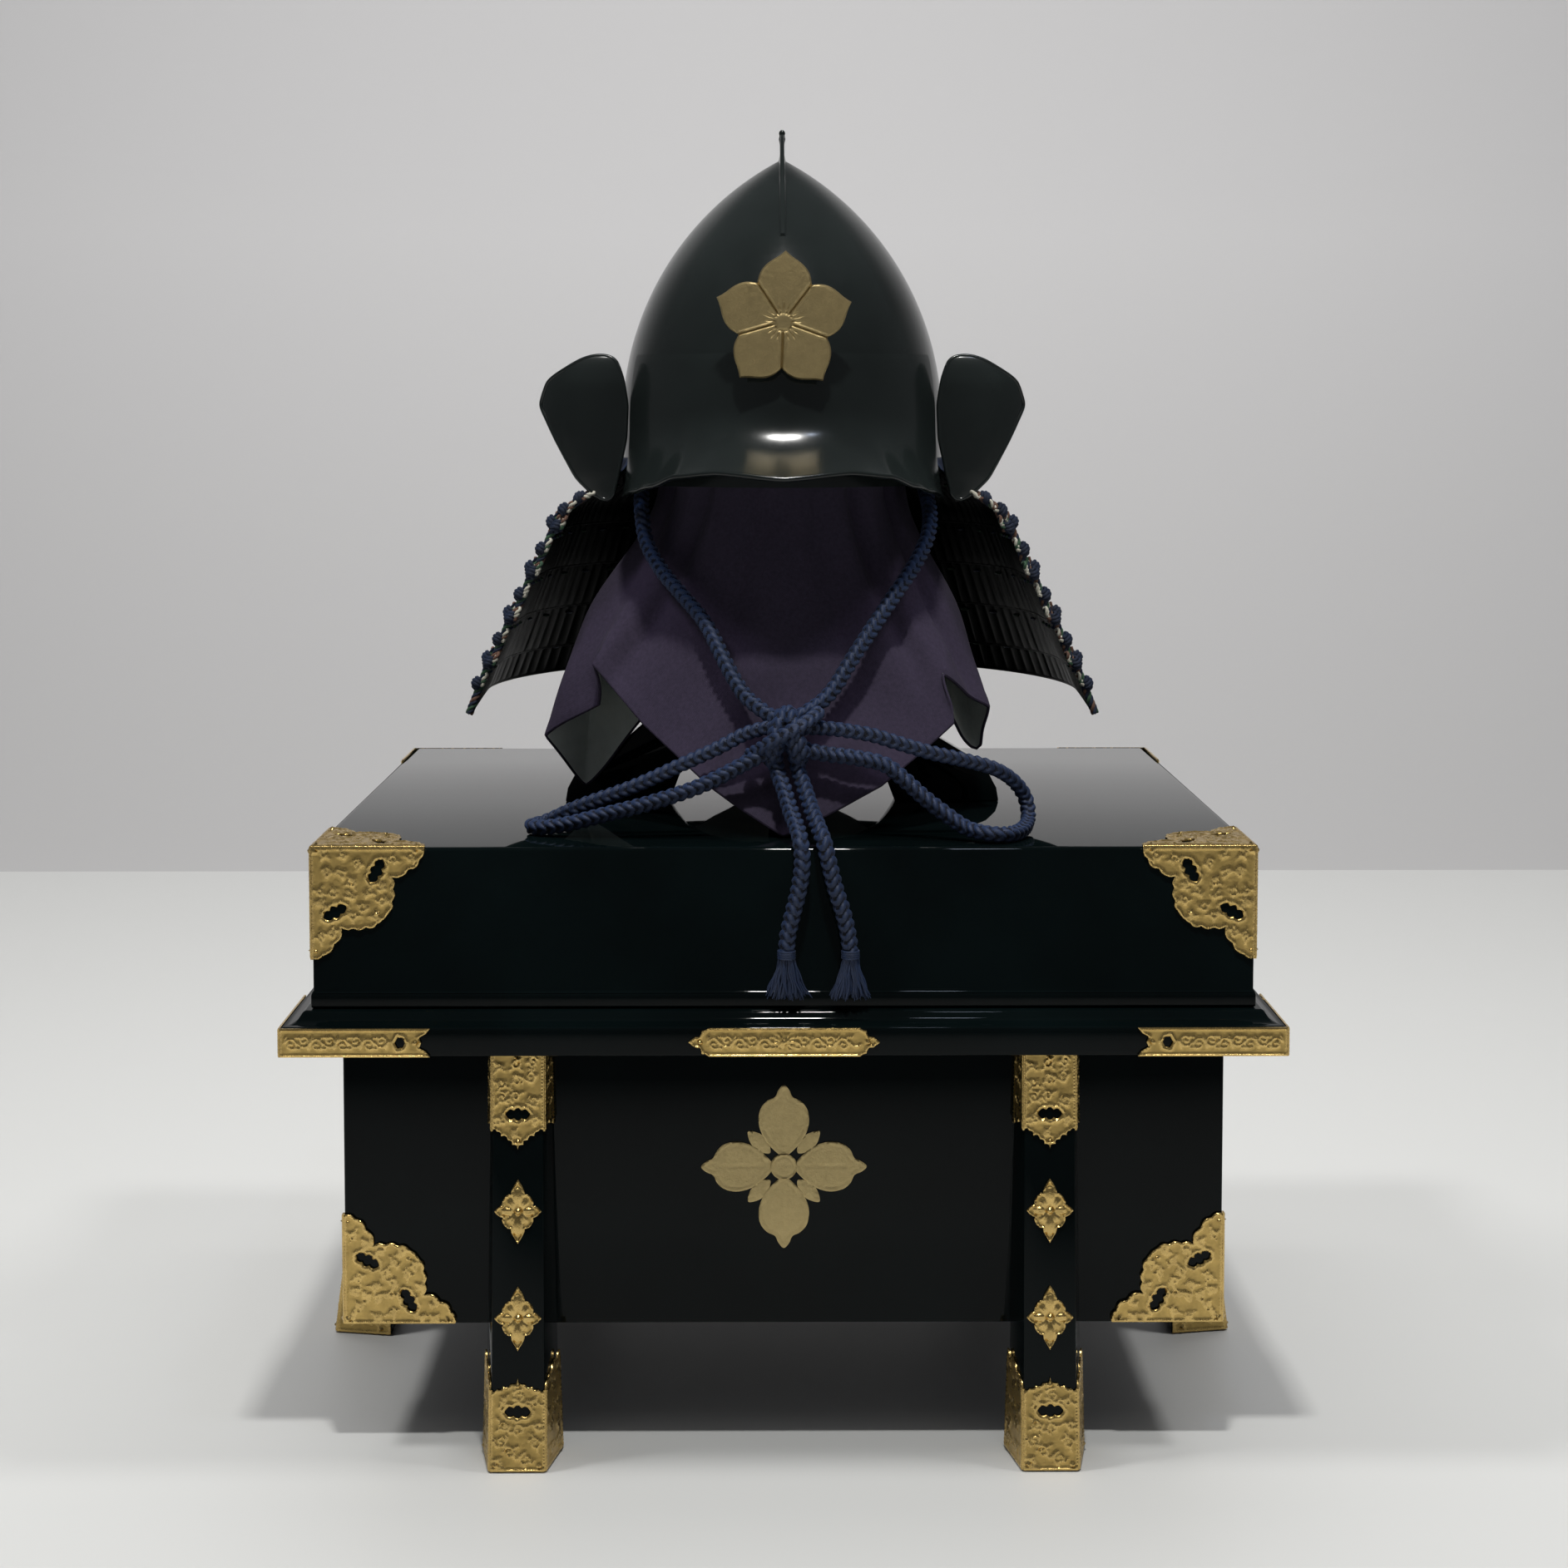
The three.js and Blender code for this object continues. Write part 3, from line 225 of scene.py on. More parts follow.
def frames_along(path, closed=False):
    """Two unit directions across a path at each point, turning as little as they can."""
    if closed:
        tangents = unit(np.roll(path, -1, axis=0) - np.roll(path, 1, axis=0))
    else:
        tangents = unit(np.gradient(path, axis=0))
    side = np.cross(tangents[0], (0, 0, 1))
    if np.linalg.norm(side) < 0.1:
        side = np.cross(tangents[0], (0, 1, 0))
    sides = []
    for tangent in tangents:
        side = side - tangent * side.dot(tangent)
        side = side / np.linalg.norm(side)
        sides.append(side)
    sides = np.array(sides)
    return sides, np.cross(tangents, sides)


# Materials

def material(name, color, roughness, metallic=0.0, **sockets):
    mat = bpy.data.materials.new(name)
    mat.use_nodes = True
    shader = mat.node_tree.nodes["Principled BSDF"]
    shader.inputs["Base Color"].default_value = (*color, 1)
    shader.inputs["Roughness"].default_value = roughness
    shader.inputs["Metallic"].default_value = metallic
    for key, value in sockets.items():
        shader.inputs[key.replace("_", " ")].default_value = value
    return mat


def node(mat, kind, **values):
    made = mat.node_tree.nodes.new(kind)
    for key, value in values.items():
        if key in made.inputs:
            made.inputs[key].default_value = value
        else:
            setattr(made, key, value)
    return made


def link(mat, source, target):
    mat.node_tree.links.new(source, target)


def shader_of(mat):
    return mat.node_tree.nodes["Principled BSDF"]


def noise(mat, scale, detail=4.0, roughness=0.6, stretch=(1, 1, 1)):
    """Noise over the object's own coordinates, in metres."""
    place = node(mat, "ShaderNodeTexCoord")
    mapping = node(mat, "ShaderNodeMapping")
    mapping.inputs["Scale"].default_value = stretch
    link(mat, place.outputs["Object"], mapping.inputs["Vector"])
    made = node(mat, "ShaderNodeTexNoise", Scale=scale, Detail=detail, Roughness=roughness)
    link(mat, mapping.outputs["Vector"], made.inputs["Vector"])
    return made.outputs["Fac"]


def ramp(mat, source, stops):
    made = node(mat, "ShaderNodeValToRGB")
    while len(made.color_ramp.elements) < len(stops):
        made.color_ramp.elements.new(0.5)
    for element, (at, color) in zip(made.color_ramp.elements, stops):
        element.position = at
        element.color = (*color, 1) if len(color) == 3 else color
    link(mat, source, made.inputs["Fac"])
    return made.outputs["Color"]


def spread(mat, source, low, high, socket):
    """Sends a 0 to 1 value to a shader input between two numbers."""
    made = node(mat, "ShaderNodeMapRange")
    made.inputs["To Min"].default_value = low
    made.inputs["To Max"].default_value = high
    link(mat, source, made.inputs["Value"])
    link(mat, made.outputs["Result"], shader_of(mat).inputs[socket])


def bump(mat, source, strength, distance, after=None):
    made = node(mat, "ShaderNodeBump", Strength=strength, Distance=distance)
    link(mat, source, made.inputs["Height"])
    if after is not None:
        link(mat, after, made.inputs["Normal"])
    link(mat, made.outputs["Normal"], shader_of(mat).inputs["Normal"])
    return made.outputs["Normal"]


def lacquer(name, color, roughness, ripple, shine, dust=0.0):
    mat = material(name, color, roughness, 0.0, Specular_IOR_Level=shine)
    tone = noise(mat, 9, 3)
    link(mat, ramp(mat, tone, [(0.3, tuple(c * 0.75 for c in color)), (0.7, tuple(c * 1.35 for c in color))]),
         shader_of(mat).inputs["Base Color"])
    spread(mat, noise(mat, 260, 6, 0.7), roughness * 0.85, roughness * 1.25 + dust, "Roughness")
    bump(mat, noise(mat, 22, 2), ripple, 0.002)
    return mat


def gold(name, color, roughness, grain, tarnish=0.6):
    mat = material(name, color, roughness, 1.0)
    patch = noise(mat, 120, 5)
    dark = tuple(c * tarnish for c in color)
    link(mat, ramp(mat, patch, [(0.35, dark), (0.65, color)]), shader_of(mat).inputs["Base Color"])
    spread(mat, noise(mat, 420, 5), roughness * 0.75, roughness * 1.3, "Roughness")
    chased = bump(mat, noise(mat, 330, 3, 0.6), 0.3, 0.0008)
    bump(mat, noise(mat, grain, 6, 0.7), 0.3, 0.0004, chased)
    return mat


def weave(name, light, dark, thread, roughness=0.9, sheen=0.3, slub=60):
    """Plain weave: two crossed sets of fine threads, with a slubby colour."""
    mat = material(name, light, roughness, 0.0, Sheen_Weight=sheen, Sheen_Roughness=0.5)
    tone = ramp(mat, noise(mat, slub, 6, 0.7), [(0.3, dark), (0.7, light)])
    link(mat, tone, shader_of(mat).inputs["Base Color"])
    place = node(mat, "ShaderNodeTexCoord")
    waves = []
    for direction in ("DIAGONAL", "Z"):
        wave = node(mat, "ShaderNodeTexWave", Scale=thread, Distortion=0.6)
        wave.bands_direction = direction
        wave.inputs["Detail Scale"].default_value = 3.0
        link(mat, place.outputs["Object"], wave.inputs["Vector"])
        waves.append(wave.outputs["Fac"])
    both = node(mat, "ShaderNodeMath", operation="MULTIPLY")
    link(mat, waves[0], both.inputs[0])
    link(mat, waves[1], both.inputs[1])
    soft = bump(mat, noise(mat, 14, 3), 0.25, 0.003)
    bump(mat, both.outputs[0], 0.35, 0.0003, soft)
    return mat


HELMET_BLACK = lacquer("helmet_lacquer", (0.0072, 0.0095, 0.0092), 0.17, 0.04, 0.4)
CHEST_BLACK = lacquer("chest_lacquer", (0.0013, 0.0029, 0.0031), 0.03, 0.01, 0.12)
LAME_BLACK = lacquer("lame_lacquer", (0.0009, 0.0022, 0.0014), 0.34, 0.2, 0.035)
GILT = gold("gilt_brass", (0.74, 0.52, 0.19), 0.26, 900, 0.75)
GILT_DEEP = gold("gilt_ground", (0.62, 0.43, 0.145), 0.36, 1700, 0.75)
# The crest's gold leaf, and a lighter copy of the same leaf for the chest's ornament: one leaf at two
# brightnesses, painted light.
LEAF = gold("gold_leaf", (0.43, 0.335, 0.165), 0.5, 1200, 0.9)
LEAF_PAINTED_LIGHTER = gold("gold_leaf_painted_lighter", (0.56, 0.445, 0.22), 0.55, 1200, 0.92)
PURPLE = weave("purple_cloth", (0.034, 0.025, 0.05), (0.019, 0.014, 0.03), 620, 0.95, 0.0, 420)
LINING = weave("grey_lining", (0.6, 0.64, 0.61), (0.48, 0.52, 0.49), 620, 0.6, 0.2)
# Navy silk made much darker for the hollows between the braid's strands: painted shade.
NAVY_GAP_SHADE = weave("navy_silk_painted_gap_shade", (0.002, 0.004, 0.012), (0.001, 0.002, 0.007), 900, 0.9, 0.0)
NAVY = weave("navy_silk", (0.0085, 0.023, 0.068), (0.0045, 0.012, 0.04), 900, 0.55, 0.04, 500)
NAVY_DARK = weave("navy_silk_dark", (0.0055, 0.013, 0.036), (0.0025, 0.006, 0.018), 900, 0.75, 0.0)
WHITE_SILK = weave("white_silk", (0.5, 0.48, 0.4), (0.3, 0.29, 0.24), 900, 0.7, 0.2)
GREEN_SILK = weave("green_silk", (0.025, 0.075, 0.035), (0.014, 0.045, 0.022), 900, 0.7, 0.1)
BROWN_SILK = weave("brown_silk", (0.12, 0.055, 0.035), (0.07, 0.035, 0.02), 900, 0.7, 0.1)

# Chin cord: the same points as the part's, heights above the lid

ROUTES = {
    "chin_cord_loop": [
        (-24, -176, 86), (-36, -166, 105), (-49, -152, 129), (-64, -138, 146), (-77, -124, 160),
        (-88, -106, 178), (-92, -90, 198), (-93, -72, 212), (-95, -55, 222), (-96.5, -36, 226),
        (-90.5, -1, 227), (-69, 40, 227), (-33, 68, 227), (0, 75, 227), (33, 68, 227), (69, 40, 227),
        (90.5, -1, 227), (96.5, -36, 226),
        (95, -55, 222), (94, -73, 212), (96, -92, 199), (94, -110, 183), (84, -128, 164), (72, -142, 148),
        (56, -156, 126), (42, -168, 106), (28, -178, 86),
    ],
    "bow_loop_left": [
        (-24, -187, 63), (-40, -190, 55), (-60, -191, 46), (-92, -188, 31), (-128, -182, 17), (-149, -177, 7),
        (-157, -182, 5.2), (-150, -190, 5.2), (-134, -194, 8), (-112, -197, 14), (-82, -199, 22),
        (-50, -199, 33),
        (-24, -197, 46),
    ],
    "bow_loop_right": [
        (24, -189, 67), (38, -193, 66), (56, -195, 63), (72, -195, 58), (92, -193, 52), (112, -189, 47),
        (131, -184, 41), (144, -177, 32), (152, -172, 20), (153, -178, 10), (146, -203, 5.2),
        (135, -218, 5.2),
        (124, -219, 6), (112, -211, 8), (98, -206, 17), (85, -204, 27), (74, -203, 37), (62, -202, 46),
        (44, -200, 50), (24, -195, 52),
    ],
    "cord_tail_left": [
        (-4, -197, 42), (0, -206, 32), (4, -217, 20), (8, -229, 11), (10, -237.2, 4), (11, -239.4, -8),
        (9, -239.4, -24), (5, -239.4, -40), (2, -239.4, -54), (1.5, -239.4, -64),
    ],
    "cord_tail_right": [
        (9, -197, 42), (13, -206, 31), (17, -217, 20), (21, -229, 11), (24, -237.2, 4), (27, -239.4, -8),
        (31, -239.4, -24), (36, -239.4, -40), (39, -239.4, -54), (40, -239.4, -64),
    ],
}
KNOT = np.array((1, -190, LID_TOP + 62))

# How each cord runs on inside the knot: points before its first and after its last
INTO_KNOT = {
    "chin_cord_loop": ([(6, -190, 66), (-11, -184, 76)], [(15, -185, 77), (-2, -189, 67)]),
    "bow_loop_left": ([(2, -190, 69), (-11, -188, 67)], [(-11, -197, 53), (2, -193, 60)]),
    "bow_loop_right": ([(0, -190, 64), (12, -190, 67)], [(12, -195, 55), (0, -191, 60)]),
    "cord_tail_left": ([(-1, -191, 62), (-5, -194, 52)], []),
    "cord_tail_right": ([(3, -191, 62), (7, -194, 52)], []),
}


def route(name):
    before, after = INTO_KNOT[name]
    points = np.array(before + ROUTES[name] + after, float)
    points[:, 2] += LID_TOP
    return spline(points, 400)


def braid(path, radius=5.25, step=0.8, columns=4, plait=5.6):
    """A square-sectioned silk braid: columns of strands that slope one way and the other in turn."""
    rings = max(8, int(length_of(path) / step))
    path = spline(path[:: max(1, len(path) // 60)], rings)
    side, up = frames_along(path)
    sides = columns * 7
    turn = (np.arange(sides) + 0.5) / sides
    run = np.concatenate([[0], np.cumsum(np.linalg.norm(np.diff(path, axis=0), axis=1))])
    column = np.floor(turn * columns)
    within = turn * columns - column
    slope = np.where(column % 2 == 0, 1.0, -1.0)
    phase = run[:, None] / plait + (slope * (within - 0.5) * 0.9)[None]
    strand = np.abs(np.sin(math.pi * phase)) ** 0.75
    crown = np.abs(np.sin(math.pi * (within * 0.86 + 0.07)))[None] ** 0.6
    height = strand * crown
    threads = 0.09 * np.sin(TAU * 5 * (run[:, None] / plait - (slope * (within - 0.5) * 1.1)[None]))
    radii = radius - 2.1 + 1.75 * height + 0.35 * crown + threads * height
    ring = np.cos(turn * TAU)[None, :, None] * side[:, None] + np.sin(turn * TAU)[None, :, None] * up[:, None]
    points = path[:, None] + ring * radii[..., None]
    faces = grid_faces(rings, sides, wrap_columns=True)
    # Faces lying low between the strands take the darker navy: painted shade in the braid's hollows.
    deep = (height[:-1] + np.roll(height, -1, axis=1)[1:]) / 2 < 0.42
    marks = [int(value) for value in deep.reshape(-1)] + [0, 0]
    faces += [tuple(reversed(range(sides))), tuple(range((rings - 1) * sides, rings * sides))]
    return points.reshape(-1, 3), faces, marks


def braid_piece(name, paths, replaces):
    build = Build()
    for path in paths:
        points, faces, marks = braid(path)
        build.add(points, faces)
        build.marks[-len(faces):] = marks
    # The second material is the darker navy of the gaps, painted shade.
    return build.make(name, [NAVY, NAVY_GAP_SHADE], replaces, 80)


for name in ROUTES:
    braid_piece(name + "_braid", [route(name)], [name])


def knot_piece():
    """A bow knot: the cord's turns round the middle, over the strands that run into it."""
    x0, y0, z0 = KNOT
    paths = []
    for middle, lean, wide, tall, drift in ((-5.5, 8, 8.5, 14.5, 2), (6.0, -7, 10.0, 15.0, -2)):
        turn = np.linspace(-0.12, 1.06, 60) * TAU
        paths.append(np.stack([x0 + middle + lean * np.sin(turn) * 0.6 + np.linspace(-drift, drift, 60),
                               y0 - 3 - wide * np.cos(turn), z0 + tall * np.sin(turn)], axis=1))
    over = [(-22, 0, -12), (-15, -8, -7), (-5, -14, 0), (6, -14.5, 6), (15, -8, 11), (21, 0, 15)]
    paths.append(spline(np.array(over, float) + (x0, y0, z0), 60))
    return braid_piece("bow_knot_turns", paths, ["bow_knot"])


def tassel_piece(side, seed):
    """A frayed end: a thread binding, then loose silk threads that spread as they fall."""
    rng = random.Random(seed)
    build = Build()
    top = route("cord_tail_" + side)[-1]
    for i in range(4):
        turn = np.linspace(0, 1, 25)[:-1] * TAU
        ring = np.stack([top[0] + 5.0 * np.cos(turn), top[1] + 5.0 * np.sin(turn),
                         np.full(24, top[2] + 2 - i * 1.3)], axis=1)
        build.add(*tube(ring, 0.75, 6, True))
    for i in range(150):
        angle, out = rng.uniform(0, TAU), math.sqrt(rng.random())
        x, y = math.cos(angle) * out, math.sin(angle) * out
        length = rng.uniform(22, 27)
        wild = rng.gauss(0, 1.0)
        points = []
        for k in range(9):
            t = k / 8
            open_out = 4.2 + 8.2 * t ** 1.3
            curl = wild * t * t * 1.6
            points.append((top[0] + x * open_out + curl + 0.5 * math.sin(t * 9 + i),
                           top[1] + 0.15 * t + y * lerp(4.2, 4.3, t), top[2] - 1 - length * t))
        build.add(*tube(points, [0.62] * 8 + [0.25], 5))
    return build.make("tassel_threads_" + side, NAVY, ["tassel_" + side], 60)


knot = knot_piece()
tassels = {"left": tassel_piece("left", 5), "right": tassel_piece("right", 8)}


def declare(name, exit_point, far_end, lay, with_pieces=()):
    path = route(name)
    list(with_pieces)


for name, far_end, lay, extra in (
    ("chin_cord_loop", "knot", "hanging", [knot]),
    ("bow_loop_left", "knot", "loose", []),
    ("bow_loop_right", "knot", "loose", []),
    ("cord_tail_left", "bare", "hanging", [tassels["left"]]),
    ("cord_tail_right", "bare", "hanging", [tassels["right"]]),
):
    declare(name, route(name)[0], far_end, lay, extra)


# Helmet bowl

ARCH = BOWL_HEIGHT - BOWL_SHOULDER
ARCH_RADIUS = (ARCH ** 2 + BOWL_HALF_WIDTH ** 2) / (2 * BOWL_HALF_WIDTH)
DEEPER = BOWL_HALF_DEPTH / BOWL_HALF_WIDTH


def bowl_half(height):
    above = np.clip(height - BOWL_SHOULDER, 0, ARCH)
    return np.maximum(0, BOWL_HALF_WIDTH - ARCH_RADIUS + np.sqrt(ARCH_RADIUS ** 2 - above ** 2))


def bowl_point(turn, height, outset=0.0):
    """The bowl at a turn from the front, in radians, and a height above its rim."""
    half = bowl_half(height)
    sharp = CREASE * smooth(height, BOWL_HEIGHT - CREASE_DROP, BOWL_HEIGHT)
    wrapped = np.arctan2(np.sin(turn), np.cos(turn))
    ahead = lerp(np.cos(turn), 1 - 2 * np.abs(wrapped) / math.pi, sharp)
    x, y = np.sin(turn) * (half + outset), HELMET_Y - ahead * (half * DEEPER + outset)
    return np.stack(np.broadcast_arrays(x, y, BOWL_RIM + height), axis=-1)


def bowl_piece():
    around, up = 200, 56
    turn = np.arange(around) / around * TAU
    height = BOWL_HEIGHT * (1 - (1 - np.linspace(0, 1, up)) ** 1.35)
    outer = bowl_point(turn[None], height[:, None])
    share = np.maximum(0, bowl_half(height) - BOWL_WALL) / np.maximum(bowl_half(height), 1e-6)
    inner = outer.copy()
    inner[..., 0] *= share[:, None]
    inner[..., 1] = HELMET_Y + (inner[..., 1] - HELMET_Y) * share[:, None]
    inner[..., 2] = BOWL_RIM + (height * (BOWL_HEIGHT - 5) / BOWL_HEIGHT)[:, None]
    front, back, edge = sheet_faces(up, around, True)
    faces = front + back + edge[0::2]
    points = layers_of(outer, inner)
    return piece("bowl_shell", points, faces, HELMET_BLACK, ["helmet_bowl"], 30)


bowl_piece()


def front_height(distance):
    """Height above the rim at which the bowl's front reaches a distance from its axis."""
    inward = ARCH_RADIUS - BOWL_HALF_WIDTH + np.abs(distance) / DEEPER
    return BOWL_SHOULDER + np.sqrt(np.maximum(0, ARCH_RADIUS ** 2 - inward ** 2))


def comb_piece():
    """A thin blade on the ridge with a beaded edge, running out into a fine line down the front and back."""
    build = Build()
    ahead = np.linspace(-78, 78, 157)
    lower = front_height(ahead)
    near = np.where(ahead < 0, -ahead / 42, ahead / 50)
    rise = np.maximum(1.7, (BOWL_HEIGHT + 17.5 - lower) * np.maximum(0, 1 - near) ** 1.5)
    profile = [(-2.6, -1.5), (-1.7, 0.12), (-1.0, 0.35), (-0.95, 0.75), (-1.4, 0.92), (-1.1, 1.0), (0, 1.04),
               (1.1, 1.0), (1.4, 0.92), (0.95, 0.75), (1.0, 0.35), (1.7, 0.12), (2.6, -1.5)]
    rows = []
    for y, low, tall in zip(ahead, lower, rise):
        rows.append([(x, HELMET_Y + y, BOWL_RIM + low + (share * tall if share > 0 else share))
                     for x, share in profile])
    count = len(profile)
    faces = grid_faces(len(rows), count)
    faces += [tuple(range(count)), tuple(reversed(range((len(rows) - 1) * count, len(rows) * count)))]
    build.add(np.array(rows), faces)
    bead = [(0, HELMET_Y, BOWL_RIM + BOWL_HEIGHT + z) for z in np.linspace(6, 19.3, 12)]
    build.add(*tube(bead, [1.5, 1.5, 1.5, 1.55, 1.7, 2.0, 2.25, 2.0, 1.75, 2.15, 2.0, 0.9], 16))
    return build.make("comb_ridge", HELMET_BLACK, ["bowl_comb"], 50)


comb_piece()


# Visor

VISOR_RIM = [(0, 35, 5.2), (0.26, 33.5, 9), (0.44, 30, 6.5), (0.58, 25, 0.5), (0.74, 17, -3.5), (1, 5, -7.5)]


def table(rows, column, share):
    """A smooth value from a table of rows that start with their share."""
    keys = [row[0] for row in rows]
    at = np.clip(np.searchsorted(keys, share, side="left"), 1, len(rows) - 1)
    values = np.array([row[column] for row in rows], float)
    keys = np.array(keys, float)
    part = np.clip((share - keys[at - 1]) / (keys[at] - keys[at - 1]), 0, 1)
    part = part * part * (3 - 2 * part) * 0.5 + part * 0.5
    return lerp(values[at - 1], values[at], part)


def visor_piece():
    columns, rows = 141, 47
    side = np.linspace(-1, 1, columns)[None]
    v = np.linspace(0, 1, rows)[:, None]
    spread_ = np.abs(side)
    rim = table(VISOR_RIM, 2, spread_)
    height = lerp(VISOR_TOP, rim, v)
    flare = np.where(v < 0.45, 0, ((v - 0.45) / 0.55)) ** 2
    reach = table(VISOR_RIM, 1, spread_) * flare
    inner = bowl_point(np.radians(VISOR_SPREAD) * side, height, 0.7 + reach)
    normal = outward_normals(inner)
    thick = lerp(1.7, VISOR_THICK, smooth(v, 0, 0.05))[..., None]
    outer = inner + normal * thick
    front, back, edge = sheet_faces(rows, columns)
    build = Build()
    build.add(layers_of(outer, inner), front + back + edge)
    lip = (outer[-1] + inner[-1]) / 2
    build.add(*tube(lip, 1.75, 12))
    return build.make("visor_plate", HELMET_BLACK, ["visor"], 50)


visor_piece()


# Turned-back wings

WINGS = [(0, 204, 112, 118), (0.16, 219, 108, 134), (0.42, 245, 102.5, 148), (0.66, 267, 101.5, 158.7),
         (0.82, 283, 104, 153), (0.95, 296, 108.5, 132), (1, 300.5, 113, 123)]


def wing_piece(side, name):
    rows, columns = 70, 26
    keys = np.linspace(0, 1, rows)
    inner_edge, outer_edge, height = table(WINGS, 2, keys), table(WINGS, 3, keys), table(WINGS, 1, keys)
    outline = np.concatenate([np.stack([outer_edge, height], 1), np.stack([inner_edge, height], 1)[::-1]])
    for _ in range(7):
        outline = (np.roll(outline, 1, axis=0) + outline + np.roll(outline, -1, axis=0)) / 3
    outer_line, inner_line = outline[:rows], outline[rows:][::-1]
    u = np.linspace(0, 1, columns)[None, :, None]
    flat = lerp(inner_line[:, None], outer_line[:, None], u)
    bend = np.maximum(0, flat[..., 0] - 138) / 20.7
    belly = 2.6 * np.sin(math.pi * u[..., 0]) * np.sin(math.pi * keys)[:, None]
    y = HELMET_Y - 50 - 2 * GAP + 12 * bend ** 2 - belly
    y = y + 5.5 * (smooth(keys, 0.72, 1.05) ** 1.5)[:, None]
    back = np.stack([side * flat[..., 0], y, LID_TOP + flat[..., 1]], axis=-1)
    front = back - (0, 2.0, 0)
    layers = sheet_faces(rows, columns)
    build = Build()
    build.add(layers_of(front, back), layers[0] + layers[1] + layers[2])
    middle = (front + back) / 2
    loop = np.concatenate([middle[:, -1], middle[::-1, 0]])
    build.add(*tube(spline(loop[::2], 180, True)[:-1], 1.45, 10, True))
    build.make("wing_plate_" + name, HELMET_BLACK, ["wing_" + name], 50)


wing_piece(-1, "left")
wing_piece(1, "right")


# Crest: five pointed petals of matt gold leaf, with a stem behind it to the bowl

# Degrees from a petal's middle, and its reach there as a share of the crest's radius
PETAL = [(0, 1.0), (3, 0.955), (6, 0.922), (9, 0.898), (12, 0.88), (16, 0.855), (20, 0.828), (24, 0.795),
         (27, 0.765), (30, 0.73), (33, 0.69), (36, 0.655)]


def crest_piece():
    around, rings = 330, 34
    roll = math.radians(2)
    turn = np.arange(around) / around * TAU
    local = np.degrees((turn + math.radians(36)) % math.radians(72)) - 36
    edge = np.interp(np.abs(local), [p[0] for p in PETAL], [p[1] for p in PETAL]) * CREST_RADIUS
    share = np.linspace(0, 1, rings)[:, None]
    radius = edge[None] * share
    from_split = radius * np.abs(np.sin(np.radians(36 - np.abs(local))))[None]
    rim = edge[None] - radius
    height = 2.4 + 1.0 * np.sin(math.pi * np.clip(radius / CREST_RADIUS, 0, 1)) * np.ones_like(radius)
    height -= 0.95 * np.exp(-(from_split / 0.55) ** 2) * smooth(radius, 5.6, 7.0)
    height += 0.35 * np.exp(-((from_split - 1.3) / 0.6) ** 2) * smooth(radius, 6, 8)
    height -= 0.8 * np.exp(-((radius - 5.7) / 0.5) ** 2)
    height += 0.5 * smooth(5.2 - radius, 0, 1.2)
    for angle, start, end in ((0, 7.6, 12.0), (17, 7.8, 10.6), (-17, 7.8, 10.6)):
        off = radius * np.sin(np.radians(np.abs(local - angle)))[None]
        along = smooth(radius, start - 0.4, start + 0.4) * (1 - smooth(radius, end - 0.4, end + 0.4))
        height -= 0.55 * np.exp(-(off / 0.4) ** 2) * along
    height -= 1.1 * (1 - smooth(rim, 0, 1.4)) + 0.35 * (1 - smooth(rim, 0, 0.5))
    seat = bowl_point(0.0, CREST_HEIGHT - CREST_RADIUS - BOWL_BASE, GAP + VISOR_THICK)[1] - 5
    bowl_front = bowl_point(0.0, CREST_HEIGHT - 6 - BOWL_BASE, GAP)[1]
    x = np.sin(turn + roll)[None] * radius
    z = LID_TOP + CREST_HEIGHT + np.cos(turn + roll)[None] * radius
    face = np.stack([x, seat - height, z], axis=-1)
    back = np.stack([x, np.full_like(x, seat), z], axis=-1)
    layers = sheet_faces(rings, around, True)
    build = Build()
    build.add(layers_of(face, back), [f[::-1] for f in layers[0] + layers[1] + layers[2][1::2]])
    stem = [(0, y, LID_TOP + CREST_HEIGHT) for y in np.linspace(seat, bowl_front, 6)]
    build.add(*tube(stem, [6.0, 5.2, 4.6, 4.6, 5.0, 5.9], 20))
    return build.make("crest_petals", LEAF, ["crest"], 40)


crest_piece()


# Neck guard: five lames, laced outside, bare inside, with a plaited binding on the front edges

LAMES = [(232, 185, 50), (198, 155, 47), (168, 125, 43), (138, 95, 39), (108, 76, 34)]


def guard_half(height, index):
    return GUARD_HALF_WIDTH + LAME_FLARE * (GUARD_TOP - height) + LAME_STEP * index


def lame_surface(index, u, v):
    """Inner face of a lame at shares across and down it."""
    top, bottom, front = LAMES[index]
    side = 2 * u - 1
    ahead = np.maximum(0, (np.abs(side) - 1 + GUARD_SIDE) / GUARD_SIDE)
    turn = np.minimum(1, np.abs(side) / (1 - GUARD_SIDE)) * math.pi / 2
    height = lerp(top, bottom, v) - (GUARD_DROOP * v * ahead ** 2 if index == 4 else 0)
    neck = 1 - smooth(v, 0, 0.75) if index == 0 else 0
    half = lerp(guard_half(height, index), BOWL_HALF_WIDTH + 2 * GAP, neck)
    drawn = 1 - (0.085 * neck if index == 0 else -0.012) * ahead ** 2
    return np.stack(np.broadcast_arrays(
        np.sign(side) * half * np.sin(turn) * drawn,
        HELMET_Y + (half + GUARD_DEEPER) * np.cos(turn) - front * ahead, LID_TOP + height), axis=-1)


